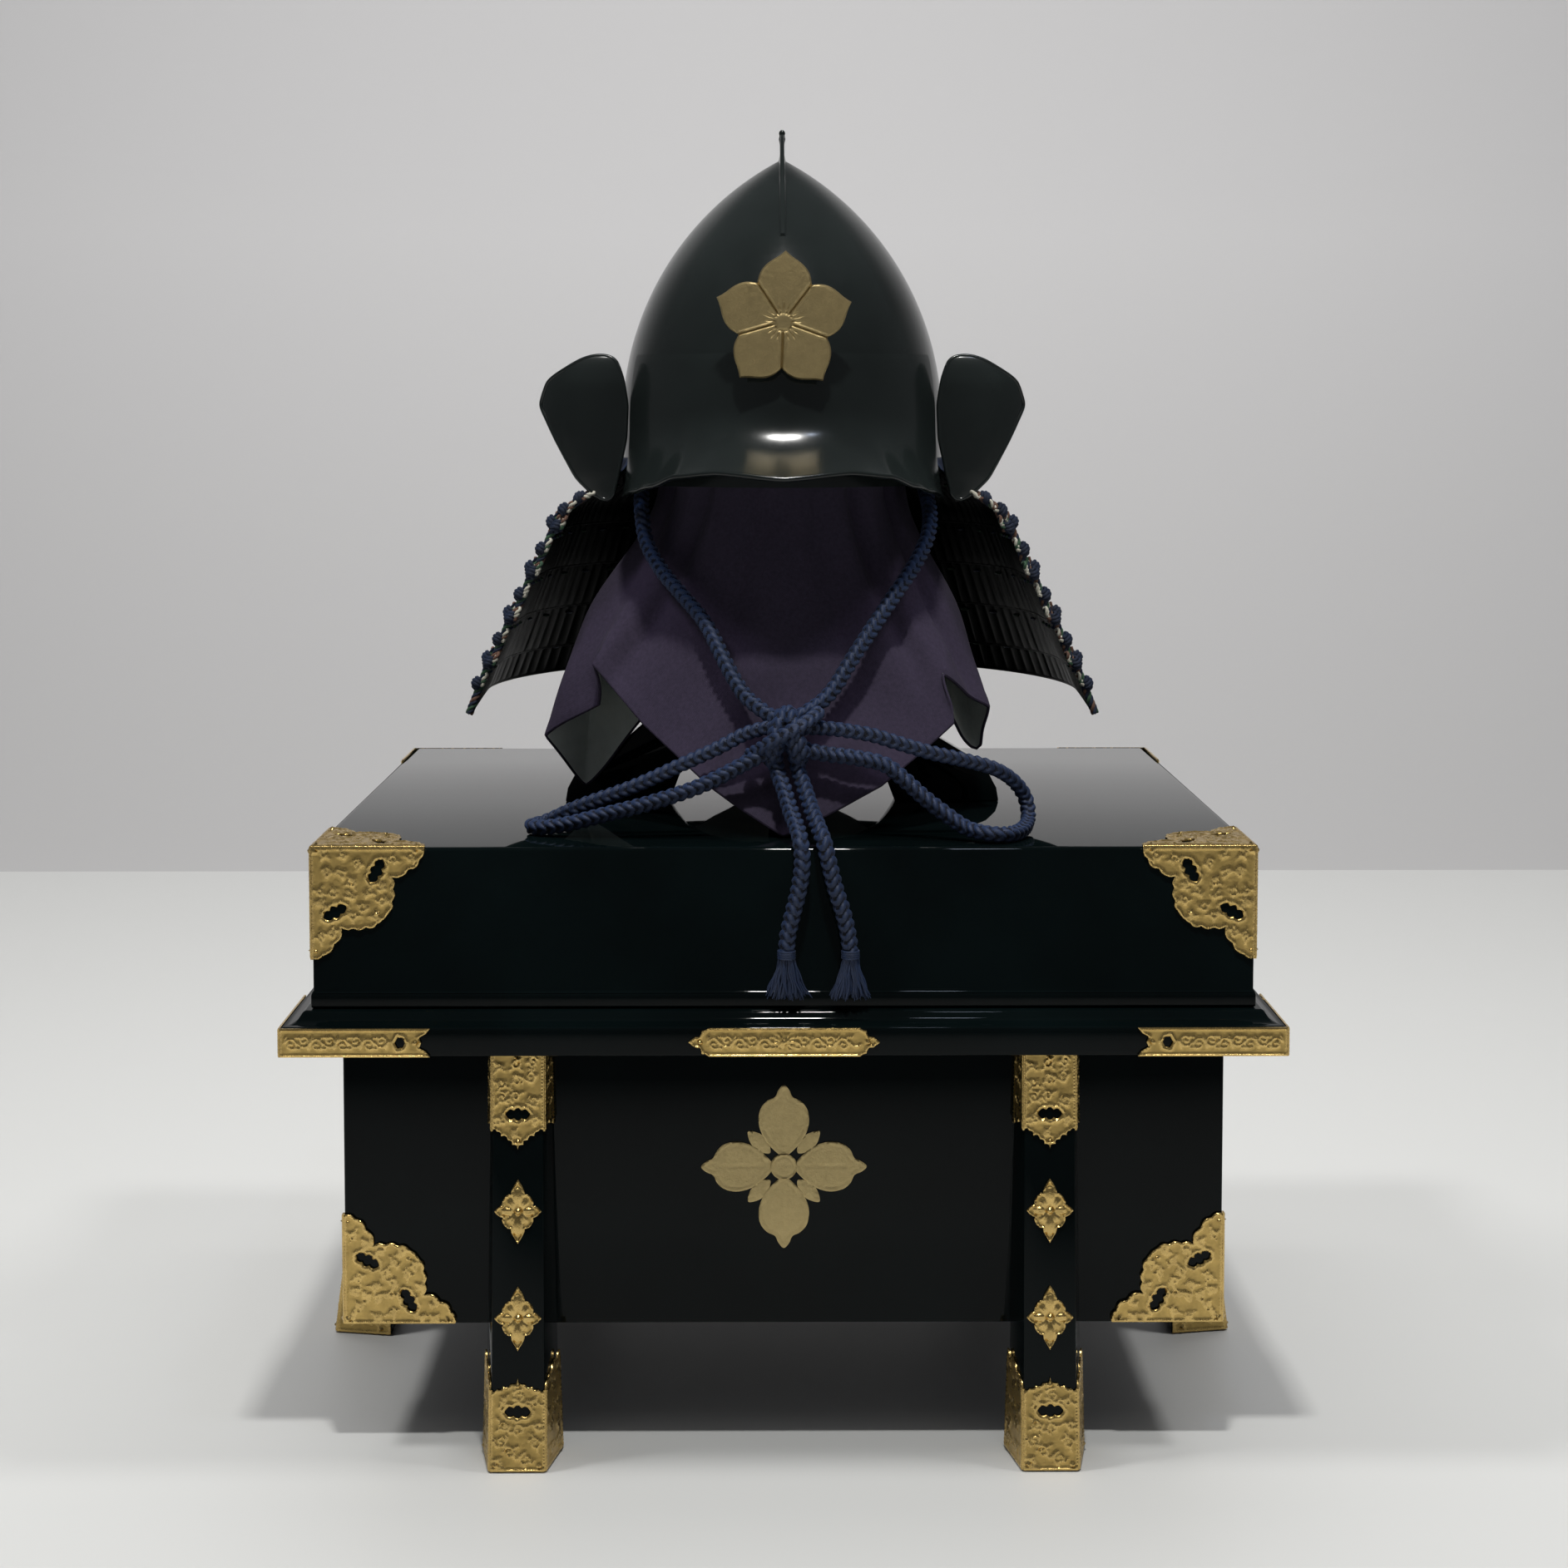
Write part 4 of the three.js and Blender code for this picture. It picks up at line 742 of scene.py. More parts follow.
def lame_piece(index):
    columns, rows = 601, 13
    cords_across = 100
    u = np.linspace(0, 1, columns)[None]
    v = np.linspace(0, 1, rows)[:, None]
    inner = lame_surface(index, u, v)
    normal = outward_normals(inner)
    across = (u * cords_across) % 1
    height = np.abs(np.sin(math.pi * u * cords_across)) ** 0.7
    chevron = 0.25 * np.abs(np.sin(math.pi * (v * 7 + np.abs(across - 0.5))))
    laced = smooth(v, 0.02, 0.08) * (1 - smooth(v, 0.86, 0.9) if index == 4 else 1)
    outer = inner + normal * (LAME_THICK - 0.5 + (0.8 * height + chevron) * laced)[..., None]
    scales = np.abs(np.sin(math.pi * u * 70)) ** 0.4
    inside = inner - normal * ((0.9 * scales - 0.3) * smooth(v, 0, 0.1) * smooth(1 - v, 0, 0.1))[..., None]
    layers = sheet_faces(rows, columns)
    build = Build()
    build.add(layers_of(outer, inside), layers[0] + layers[2] + layers[1])
    laced_rows = rows - 1 if index < 4 else rows - 3
    build.marks = [0 if i // (columns - 1) < laced_rows else 1 for i in range(len(layers[0] + layers[2]))]
    build.marks += [1] * len(layers[1])
    for row in (0.2, 0.42):
        near = inner[int(row * rows)] - normal[int(row * rows)] * 1.0
        for k in range(12, 600, 24):
            span = near[k - 3:k + 4:2]
            build.add(*tube(span, [0.5, 1.15, 1.15, 0.5], 6), mark=2 + (k // 24) % 2)
    if index == 4:
        for k in range(6, 594, 12):
            low, high = outer[10], outer[12]
            for a, b in ((low[k - 5], high[k + 5]), (low[k + 5], high[k - 5])):
                lift = normal[11][k] * 0.9
                build.add(*tube([a + lift, (a + b) / 2 + lift * 1.3, b + lift * 0.6], 0.8, 6), mark=0)
    lip = (outer[-1] + inside[-1]) / 2
    build.add(*tube(lip[::3], 1.35, 8), mark=1)
    return build.make("lame_%d_laced" % (index + 1), [NAVY, LAME_BLACK, NAVY, GREEN_SILK],
                      ["neck_lame_%d" % (index + 1)], 50)


for index in range(5):
    lame_piece(index)


def edge_bindings():
    """Plaited silk along the front edges of the lames, with knots of mixed threads at the rows of lacing."""
    colours = [NAVY_DARK, WHITE_SILK, GREEN_SILK, BROWN_SILK]
    build = Build()
    for index in range(5):
        for end in (0.0, 1.0):
            v = np.linspace(0.5 if index == 0 else 0.04, 1.0, 60)
            line = lame_surface(index, np.full_like(v, end), v)
            outward = np.array((math.copysign(1, end - 0.5), -0.25, 0)) * 1.2
            line = spline(line + outward, 60)
            side, up = frames_along(line)
            phase = np.linspace(0, 1, 60) * length_of(line) / 13 * TAU
            for k, mark in enumerate((0, 2, 0, 3)):
                swing = phase + k / 4 * TAU
                strand = line + ring_of(swing, side, up) * 1.5
                build.add(*tube(strand, 1.35, 6), mark=mark)
            for spot, at in enumerate(((8, 32, 54), (9, 34, 56), (9, 34, 56), (9, 34, 56), (9, 32))[index]):
                turn = np.linspace(0, TAU, 12)[:-1]
                tangent = np.cross(side[at], up[at])
                for k in range(4):
                    swell = math.sin((k + 0.6) / 4.2 * math.pi)
                    middle = line[at] + outward * (1.9 + 0.4 * swell) + tangent * (k - 1.5) * 1.9
                    ring = middle + ring_of(turn, side[at], up[at]) * (1.2 + 1.8 * swell)
                    ring = ring + tangent * np.sin(turn + spot)[:, None] * 1.1
                    build.add(*tube(ring, 1.35, 6, True), mark=0)
                for k in range(3):
                    middle = line[at] - outward * 0.9 + tangent * (k * 2.3 - 5.0) + np.array((0, -2.6, 0))
                    ring = middle + ring_of(turn, side[at], tangent) * (2.5 - 0.4 * k)
                    ring = ring + up[at] * np.sin(turn * 2 + k)[:, None] * 0.8
                    build.add(*tube(ring, 1.05, 6, True), mark=(1, 1, 3, 1, 2, 1)[(k + spot + index * 2) % 6])
    return build.make("lame_edge_plaits", colours, (), 60)


edge_bindings()


# Cloth over the stand: the part's folds, with finer creases between them

FOLDS = [
    (0, 0, -115, 0, -128, 0, -160, 2), (18, 34, -109, 38, -121, 45, -145, 30),
    (40, 73, -90, 80, -99, 88, -110, 65), (58, 102, -71, 112, -78, 122, -85, 101),
    (76, 128, -38, 143, -42, 157, -45, 50), (90, 120, -12, 128, -16, 131, -24, 14),
    (104, 106, 12, 110, 10, 106, 4, 76), (122, 94, 52, 98, 56, 100, 62, 92),
    (140, 80, 90, 86, 96, 90, 102, 96), (160, 42, 114, 46, 122, 50, 130, 48),
    (180, 0, 122, 0, 132, 0, 150, 2),
]
HEAD_SHARE = HEAD_HALF_DEPTH / HEAD_HALF_WIDTH


# The right half hangs a little differently: a wider front corner and a narrower side corner
RIGHT = {
    18: (18, 36, -109, 44, -121, 60, -146, 30), 40: (40, 75, -90, 90, -102, 108, -112, 66),
    58: (58, 98, -71, 104, -80, 102, -100, 95), 76: (76, 116, -38, 126, -44, 134, -60, 70),
    90: (90, 112, -12, 120, -16, 128, -46, 42), 104: (104, 106, 8, 106, -14, 106, -60, 66),
}
LEFT = [row for row in FOLDS]
LEFT[6] = (104, 106, 8, 106, -14, 90, -38, 65)
LEFT.insert(4, (67, 116, -56, 128, -62, 119, -70, 73))


# Each crease: degrees from the front at its top and its foot, half its width in degrees, and its depth
CREASES = [
    (-33, -50, 4.5, 7), (30, 41, 4.0, 8), (52, 60, 3.5, 6), (-58, -66, 5, 4), (-12, -20, 6, 2.5),
    (14, 22, 6, 3), (105, 112, 6, 5), (-108, -112, 6, 5), (138, 135, 7, 6), (-140, -134, 7, 6),
    (170, 168, 6, 4),
]


def head_half(height, outset):
    inside = bowl_half((height - BOWL_BASE) * BOWL_HEIGHT / (BOWL_HEIGHT - 5)) - BOWL_WALL
    fits = inside - CLOTH - 2 * (GAP + 0.8)
    base = min(HEAD_HALF_WIDTH, float(fits))
    if height >= HEAD_TOP:
        base -= 4
    return base + outset


def cloth_piece():
    around, down = 357, 104
    rows = [RIGHT.get(row[0], row) for row in FOLDS]
    rows += [(row[0], -row[1], row[2], -row[3], row[4], -row[5], row[6], row[7]) for row in LEFT[-2:0:-1]]
    mirrored = [False] * len(FOLDS) + [True] * (len(LEFT) - 2)

    def knots(place, crisp=0.0):
        """A ring resampled so that each fold keeps its own share of the way round."""
        controls = np.array([place(row, -1 if mirror else 1) for row, mirror in zip(rows, mirrored)], float)
        fine = []
        count = len(controls)
        for i in range(count):
            p0, p1, p2, p3 = (controls[(i + k) % count] for k in (-1, 0, 1, 2))
            t = np.linspace(0, 1, around // count, endpoint=False)[:, None]
            bent = 0.5 * (2 * p1 + (p2 - p0) * t + (2 * p0 - 5 * p1 + 4 * p2 - p3) * t ** 2
                          + (3 * p1 - p0 - 3 * p2 + p3) * t ** 3)
            fine.append(lerp(bent, p1 + (p2 - p1) * t, crisp))
        return np.vstack(fine)

    def head_ring(height):
        half = head_half(height, GAP + 0.8)
        return knots(lambda row, sign: (sign * math.sin(math.radians(row[0])) * half,
                                        -math.cos(math.radians(row[0])) * half * HEAD_SHARE, height))

    rings = [head_ring(height) for height in (360, 340, 322, 300, 270)]
    rings.insert(0, np.array([(x * 0.5, y * 0.5, 360) for x, y, _ in rings[0]]))
    rings.insert(0, np.array([(x * 0.02, y * 0.02, 360) for x, y, _ in rings[0]]))
    rings.append(knots(lambda row, sign: (sign * math.sin(math.radians(row[0])) * 83.3,
                                          -math.cos(math.radians(row[0])) * 97.3, 206)))
    rings.append(knots(lambda row, sign: (row[1], row[2], 130)))
    rings.append(knots(lambda row, sign: (row[3], row[4], (130 + row[7]) / 2), 0.4))
    rings.append(knots(lambda row, sign: (row[5], row[6], row[7]), 0.85))
    rings = np.array(rings)
    rings[..., 1] += HELMET_Y
    rings[..., 2] += LID_TOP
    columns = rings.shape[1]
    surface = np.stack([spline(rings[:, k], down) for k in range(columns)], axis=1)
    normal = outward_normals(surface, True)
    turn = np.arange(columns) / columns * TAU
    low = smooth((LID_TOP + 250 - surface[..., 2]) / 200, 0, 1)
    crease = 0.0
    for waves, slope, start, size in ((9, 0.03, 0, 1.6), (17, -0.045, 1, 0.9), (5, 0.07, 2, 1.2)):
        crease = crease + np.sin(turn * waves + surface[..., 2] * slope + start) * size
    level = surface[..., 2] - LID_TOP
    compass = np.degrees(np.arctan2(surface[..., 0], HELMET_Y - surface[..., 1]))
    push = crease * low * 0.8
    fade = smooth(level, 60, 120) * (1 - smooth(level, 205, 262))
    for above, below, wide, depth in CREASES:
        middle = lerp(below, above, smooth(level, 70, 250))
        off = (compass - middle + 180) % 360 - 180
        push = push - depth * np.exp(-(off / wide) ** 2) * fade
    hollow = np.exp(-(compass / 27) ** 4) * smooth(level, 95, 150) * (1 - smooth(level, 235, 290))
    surface = surface + normal * (push - 9 * hollow)[..., None]
    run = np.cumsum(np.linalg.norm(np.diff(surface[::-1], axis=0), axis=-1), axis=0)[::-1]
    from_hem = np.vstack([run, np.zeros((1, columns))])
    turned = 0.55 * (1 - smooth(from_hem, 6.5, 9.0))
    outer = surface + normal * (CLOTH / 2 + turned)[..., None]
    inner = surface - normal * (CLOTH / 2)
    layers = sheet_faces(down, columns, True)
    build = Build()
    build.add(layers_of(outer, inner), layers[0] + layers[1] + layers[2][1::2])
    build.marks = [0] * len(layers[0]) + [1] * len(layers[1]) + [0] * (len(build.faces) - 2 * len(layers[0]))
    hem = surface[-1]
    build.add(*tube(hem, 0.95, 6, True))
    return build.make("cloth_drape", [PURPLE, LINING], ["cloth"], 70)


cloth = cloth_piece()


# Chest: the carried-over solids get rounded edges and the mirror-black finish

def rounded(name, width, material_, segments=3):
    """A copy of a node's own mesh with its edges eased."""
    source = bpy.data.objects[name]
    mesh = source.data.copy()
    obj = bpy.data.objects.new(name + "_rounded", mesh)
    bpy.context.collection.objects.link(obj)
    for stray in list(obj.modifiers):
        obj.modifiers.remove(stray)
    weld = obj.modifiers.new("weld", "WELD")
    weld.merge_threshold = 0.00005
    bevel = obj.modifiers.new("bevel", "BEVEL")
    bevel.width = width * MM
    bevel.segments = segments
    bevel.limit_method = "ANGLE"
    bevel.angle_limit = math.radians(28)
    bevel.harden_normals = False
    done = bpy.data.meshes.new_from_object(obj.evaluated_get(bpy.context.evaluated_depsgraph_get()))
    obj.modifiers.clear()
    obj.data = done
    done.materials.clear()
    done.materials.append(material_)
    done.shade_smooth()
    done.set_sharp_from_angle(angle=math.radians(40))
    obj.matrix_world = source.matrix_world.copy()
    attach(obj, "root")
    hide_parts(name)
    return obj


rounded("chest_box", 1.2, CHEST_BLACK)
rounded("chest_ledge", 1.6, CHEST_BLACK)
rounded("chest_lid", 1.6, CHEST_BLACK)
rounded("stand", 1.5, CHEST_BLACK)
LEGS = {
    "front_left": (-161, -217.5, 0), "front_right": (161, -217.5, 0), "back_left": (-161, 217.5, 180),
    "back_right": (161, 217.5, 180), "side_left": (-270, 0, -90), "side_right": (270, 0, 90),
}
for name in LEGS:
    rounded("leg_" + name, 1.3, CHEST_BLACK)


# Gilt fittings: flat plates with a rim, a dark ground and raised scrollwork, then laid on the faces

def inside(points, ring):
    x, y = points[:, 0], points[:, 1]
    result = np.zeros(len(points), bool)
    for (x0, y0), (x1, y1) in zip(ring, np.roll(ring, -1, axis=0)):
        crosses = (y0 > y) != (y1 > y)
        with np.errstate(divide="ignore", invalid="ignore"):
            result ^= crosses & (x < (x1 - x0) * (y - y0) / (y1 - y0 + 1e-12) + x0)
    return result


def distance_to(points, lines):
    best = np.full(len(points), 1e9)
    for line in lines:
        a, b = np.asarray(line[:-1]), np.asarray(line[1:])
        for start in range(0, len(a), 40):
            p, d = a[start:start + 40], (b - a)[start:start + 40]
            rel = points[:, None] - p[None]
            t = np.clip((rel * d).sum(-1) / np.maximum((d * d).sum(-1), 1e-9), 0, 1)
            best = np.minimum(best, np.linalg.norm(rel - t[..., None] * d, axis=-1).min(axis=1))
    return best


def dense(ring, step):
    ring = np.asarray(ring, float)
    out = []
    for a, b in zip(ring, np.roll(ring, -1, axis=0)):
        count = max(1, int(round(np.linalg.norm(b - a) / step)))
        out += [a + (b - a) * i / count for i in range(count)]
    return np.array(out)


def close(ring):
    return np.vstack([ring, ring[:1]])


def curl(cx, cy, radius, start, way, turns=1.35):
    t = np.linspace(0, 1, 22)
    angle = start + way * t * turns * TAU
    r = radius * (1 - 0.82 * t)
    return np.stack([cx + np.cos(angle) * r, cy + np.sin(angle) * r], axis=1)


def leaf(cx, cy, angle, length, bend=0.35):
    t = np.linspace(0, 1, 7)
    turn = angle + bend * t * 2
    return np.stack([cx + np.cos(turn) * t * length, cy + np.sin(turn) * t * length], axis=1)


def scrollwork(outline, holes, spacing, seed, margin=3.4):
    """Seeded curls and leaves spread over a plate, clear of its rim."""
    rng = random.Random(seed)
    outline = np.asarray(outline)
    low, high = outline.min(axis=0), outline.max(axis=0)
    rings = [close(dense(outline, 1.2))] + [close(dense(hole, 1.0)) for hole in holes]
    placed, stems, leaves = [], [], []
    for _ in range(900):
        spot = np.array([[rng.uniform(low[0], high[0]), rng.uniform(low[1], high[1])]])
        if not inside(spot, outline)[0] or any(inside(spot, np.asarray(hole))[0] for hole in holes):
            continue
        room = float(distance_to(spot, rings)[0])
        if room < margin + spacing * 0.18:
            continue
        if placed and min(np.linalg.norm(spot[0] - other[0]) for other in placed) < spacing:
            continue
        placed.append((spot[0], min(room - margin + spacing * 0.12, spacing * 0.46)))
    for i, (spot, radius) in enumerate(placed):
        way = 1 if i % 2 else -1
        start = rng.uniform(0, TAU)
        stems.append(curl(spot[0], spot[1], radius, start, way))
        for k in range(3):
            angle = start + way * (0.9 + k * 1.5)
            x, y = spot[0] + math.cos(angle) * radius, spot[1] + math.sin(angle) * radius
            leaves.append(leaf(x, y, angle + way * 0.9, spacing * 0.28))
    return stems, leaves


def relief(outline, holes=(), stems=(), leaves=(), step=1.22, rim=1.7, ground=0.75, high=1.55, nails=()):
    """A plate's points in its own plane with their heights, its faces, and which of them are dark ground."""
    rings = [dense(outline, 0.9 * step)] + [dense(hole, 0.7) for hole in holes]
    low, top = rings[0].min(axis=0), rings[0].max(axis=0)
    xs, ys = np.arange(low[0], top[0], step), np.arange(low[1], top[1], step * 0.866)
    grid = np.stack(np.meshgrid(xs, ys), axis=-1)
    grid[1::2, :, 0] += step / 2
    grid = grid.reshape(-1, 2)
    keep = inside(grid, rings[0])
    for hole in rings[1:]:
        keep &= ~inside(grid, hole)
    grid = grid[keep]
    grid = grid[distance_to(grid, [close(ring) for ring in rings]) > step * 0.45]
    points, edges = [], []
    for ring in rings:
        base = len(points)
        points += list(ring)
        edges += [(base + i, base + (i + 1) % len(ring)) for i in range(len(ring))]
    points += list(grid)
    flat, _, faces = delaunay_2d_cdt([Vector(p) for p in points], edges, [], 0, 1e-5)[:3]
    flat = np.array([tuple(p) for p in flat])
    faces = np.array([f for f in faces if len(f) == 3])
    middle = flat[faces].mean(axis=1)
    keep = inside(middle, rings[0])
    for hole in rings[1:]:
        keep &= ~inside(middle, hole)
    faces = faces[keep]
    edge = distance_to(flat, [close(rings[0])])
    step_up = high - ground
    height = ground + step_up * (1 - smooth(edge, rim * 0.75, rim * 1.15))
    height -= 0.45 * (1 - smooth(edge, 0, 0.7))
    height -= 0.3 * np.exp(-((edge - rim * 1.45) / 0.4) ** 2)
    for hole in rings[1:]:
        off = distance_to(flat, [close(hole)])
        height = np.maximum(height, ground + step_up * 1.1 * np.exp(-((off - 1.5) / 0.7) ** 2))
    if len(stems):
        height = np.maximum(height, ground + step_up * (1 - smooth(distance_to(flat, stems), 0.2, 0.95)))
    if len(leaves):
        ridge = 1 - smooth(distance_to(flat, leaves), 0.25, 1.0)
        height = np.maximum(height, ground + step_up * 0.9 * ridge)
    for x, y, size in nails:
        off = np.hypot(flat[:, 0] - x, flat[:, 1] - y) / size
        height = np.maximum(height, ground + 1.1 + 0.9 * np.sqrt(np.maximum(0, 1 - off ** 2)) - 4 * (off > 1))
    deep = height[faces].mean(axis=1) < ground + step_up * 0.4
    seen = {}
    for face in faces.tolist():
        for a, b in zip(face, face[1:] + face[:1]):
            seen[(a, b)] = seen.get((a, b), 0) + 1
    border = [(a, b) for (a, b) in seen if (b, a) not in seen]
    return {"flat": flat, "height": height, "faces": faces.tolist(), "deep": deep, "border": border}


def lay(build, plate, place, flip=False):
    """Adds a plate to a build: place maps its plane and height to a point."""
    flat, height = plate["flat"], plate["height"]
    top = place(flat[:, 0], flat[:, 1], height)
    border = sorted({a for edge in plate["border"] for a in edge})
    index = {a: len(flat) + i for i, a in enumerate(border)}
    foot = place(flat[border, 0], flat[border, 1], np.full(len(border), -0.05))
    faces = [tuple(face) for face in plate["faces"]]
    walls = [(b, a, index[a], index[b]) for a, b in plate["border"]]
    if flip:
        faces = [face[::-1] for face in faces]
        walls = [face[::-1] for face in walls]
    base = build.count
    build.points.append(np.vstack([top, foot]))
    build.faces += [tuple(i + base for i in face) for face in faces + walls]
    build.marks += [1 if deep else 0 for deep in plate["deep"]] + [0] * len(walls)
    build.count += len(top) + len(foot)


def cloud(cx, cy, length, tilt):
    """Piercing of three round lobes in a row."""
    points = []
    for k in range(30):
        angle = k / 30 * TAU
        x = math.cos(angle) * length / 2
        waist = 0.55 + 0.45 * abs(math.cos(1.5 * math.pi * x / (length / 2)))
        points.append((x, math.sin(angle) * length * 0.26 * waist))
    c, s = math.cos(math.radians(tilt)), math.sin(math.radians(tilt))
    return [(cx + x * c - y * s, cy + x * s + y * c) for x, y in points]


def arcs(points, bulge=0.22, count=7):
    """Joins points by small outward arcs, which meet in cusps."""
    out = []
    for (x0, y0), (x1, y1) in zip(points, points[1:]):
        nx, ny = (y1 - y0), -(x1 - x0)
        for k in range(count):
            t = k / count
            lift = bulge * math.sin(math.pi * t)
            out.append((lerp(x0, x1, t) + nx * lift, lerp(y0, y1, t) + ny * lift))
    out.append(points[-1])
    return out


def corner_outline(size):
    half = [(1, 0), (0.965, 0.105), (0.865, 0.2), (0.715, 0.265), (0.725, 0.37), (0.715, 0.485),
            (0.685, 0.585)]
    edge = arcs([(x * size, y * size) for x, y in half], 0.2)
    tip = (0.645 * size, 0.645 * size)
    mirror = [(y, x) for x, y in edge][::-1]
    return [(0, 0)] + edge + [tip] + mirror


def corner_plate(size, seed):
    outline = corner_outline(size)
    near, far, long = size * 0.21, size * 0.58, size * 0.23
    holes = [cloud(far, near, long, -62), cloud(near, far, long, -28)]
    stems, leaves = scrollwork(outline, holes, 6.8, seed, 3.0)
    end, middle = size * 0.93, size * 0.59
    nails = [(2.6, 2.6, 1.1), (end, 2.4, 1.0), (2.4, end, 1.0), (middle, middle, 1.1)]
    return relief(outline, holes, stems, leaves, nails=nails)


def corner_fitting(name, plate, half, level, rise, with_top, sx, sy):
    """The same plate on each face that meets at a corner."""
    hx, hy = half
    build = Build()
    flip = (sx * sy * rise) > 0

    def front(u, v, h):
        return np.stack([sx * (hx - u), sy * (hy + h) + 0 * u, level + rise * v], axis=1)

    def side(u, v, h):
        return np.stack([sx * (hx + h) + 0 * u, sy * (hy - u), level + rise * v], axis=1)

    def top(u, v, h):
        return np.stack([sx * (hx - u), sy * (hy - v), level + h], axis=1)

    lay(build, plate, front, not flip)
    lay(build, plate, side, flip)
    if with_top:
        lay(build, plate, top, sx * sy < 0)
    long, tall = plate["flat"].max(axis=0)
    corner = np.array((sx * hx, sy * hy, level), float)
    ends = [(0, 0, rise * tall)]
    if with_top:
        ends += [(-sx * long, 0, 0), (0, -sy * long, 0)]
    for end in ends:
        build.add(*tube([lerp(corner, corner + end, t) for t in (0, 0.5, 1)], 1.1, 10))
    return build.make(name + "_gilt", [GILT, GILT_DEEP], [name], 60)


CORNERS = {"front_left": (-1, -1), "front_right": (1, -1), "back_left": (-1, 1), "back_right": (1, 1)}
lid_plate = corner_plate(68.0, 3)
box_plate = corner_plate(68.0, 11)


def strip_plate():
    length, tall = 90.0, 17.4
    outline = [(0, 0), (length, 0), (length - 2.5, 3.4), (length - 6.5, 5.6), (length - 5.2, tall / 2),
               (length - 6.5, tall - 5.6), (length - 2.5, tall - 3.4), (length, tall), (0, tall)]
    heart = [(length * 0.765, tall / 2), (length * 0.785, tall * 0.7), (length * 0.82, tall * 0.66),
             (length * 0.835, tall * 0.5), (length * 0.82, tall * 0.34), (length * 0.785, tall * 0.3)]
    return vine_strip(outline, [heart], 3.0, length * 0.73, tall / 2, nails=[(length * 0.9, tall / 2, 1.0)])


def vine_strip(outline, holes, start, end, middle, nails=(), wave=15.5):
    x = np.linspace(start, end, 90)
    stems = [np.stack([x, middle + 2.6 * np.sin((x - start) / wave * TAU)], axis=1)]
    leaves = []
    count = int((end - start) / wave * 2)
    for k in range(count):
        cx = start + (k + 0.5) * wave / 2
        way = 1 if k % 2 else -1
        stems.append(curl(cx, middle + way * 1.3, 3.6, math.pi / 2 * -way, way, 1.2))
        leaves.append(leaf(cx + 2.5, middle - way * 3.6, way * 0.6, 3.2))
        leaves.append(leaf(cx - 2.5, middle - way * 3.8, math.pi - way * 0.6, 3.0))
    return relief(outline, holes, stems, leaves, step=1.05, rim=1.3, nails=nails)


def ledge_plate():
    length, tall = 115.0, 17.2
    quarter = [(1, 0), (0.965, 0.2), (0.93, 0.36), (0.885, 0.38), (0.865, 0.6), (0.86, 0.8), (0.82, 0.86),
               (0.79, 1)]
    one = [(x * length / 2, y * tall / 2) for x, y in quarter]
    outline = one + [(-x, y) for x, y in one[::-1]]
    outline += [(-x, -y) for x, y in one[1:]] + [(x, -y) for x, y in one[::-1][:-1]]
    clean = [outline[0]]
    for point in outline[1:]:
        if math.hypot(point[0] - clean[-1][0], point[1] - clean[-1][1]) > 0.05:
            clean.append(point)
    petals = [leaf(0, 0, k * TAU / 12, 5.6, 0.05) for k in range(12)]
    plate = vine_strip(clean, [], -46, 46, 0.0, nails=[(-50.5, 0, 1.2), (50.5, 0, 1.2), (0, 0, 1.8)])
    extra = relief(clean, [], petals, [], step=1.05, rim=1.3)
    near = np.abs(plate["flat"][:, 0]) < 6.5
    if len(extra["height"]) == len(plate["height"]):
        plate["height"] = np.where(near & (plate["height"] < 1.7), extra["height"], plate["height"])
    return plate


# Half the chest's width and depth to the faces that plates lie on, and the heights that they start from
LID_FACES, BOX_FACES, LEDGE_FACES = (285.3, 232.8), (270.3, 217.8), (302.3, 249.8)
BOX_FOOT, LEDGE_FOOT, LEDGE_MIDDLE = 78.3, 252.6, 261.35

side_strip = strip_plate()
middle_strip = ledge_plate()
for name, (sx, sy) in CORNERS.items():
    with_top = sy < 0
    level = LID_TOP + (GAP if with_top else 0)
    corner_fitting("lid_corner_" + name, lid_plate, LID_FACES, level, -1, with_top, sx, sy)
    corner_fitting("box_corner_" + name, box_plate, BOX_FACES, BOX_FOOT, 1, False, sx, sy)
    corner_fitting("ledge_corner_" + name, side_strip, LEDGE_FACES, LEDGE_FOOT, 1, False, sx, sy)
for name, sy in (("front", -1), ("back", 1)):
    build = Build()
    lay(build, middle_strip,
        lambda u, v, h: np.stack([-sy * u, sy * (LEDGE_FACES[1] + h), LEDGE_MIDDLE + v], axis=1))
    build.make("ledge_plate_%s_gilt" % name, [GILT, GILT_DEEP], ["ledge_plate_" + name], 60)


# Leg fittings: the front and both sides of a leg, as plates that meet along its edges

LEG_TOP, LEG_WAIST = 252.2, 62.0
LEG_WIDTH, LEG_DEPTH, LEG_BACK_EXTRA = (32.4, 29.6), (39.0, 31.0, 18.0), 15.0
CAP_FOOT, SHOE_FOOT = LEG_TOP - 58.3, 1.0


def leg_section(height):
    """Half the width of a leg's front and back, and its depth, at a height."""
    width = lerp(LEG_WIDTH[0], LEG_WIDTH[1], height / LEG_TOP)
    foot, waist, top = LEG_DEPTH
    above = (height - LEG_WAIST) / (LEG_TOP - LEG_WAIST)
    depth = np.where(height < LEG_WAIST, lerp(foot, waist, height / LEG_WAIST), lerp(waist, top, above))
    return width / 2, (width + LEG_BACK_EXTRA * depth / foot) / 2, depth


def on_leg(spot, across, ahead, height):
    """Turns a leg's own across, outward and height into the shared frame."""
    x, y, turn = LEGS[spot]
    c, s = math.cos(math.radians(turn)), math.sin(math.radians(turn))
    out = -ahead - GAP
    return np.stack([x + across * c - out * s, y + across * s + out * c, height + 0 * across], axis=1)


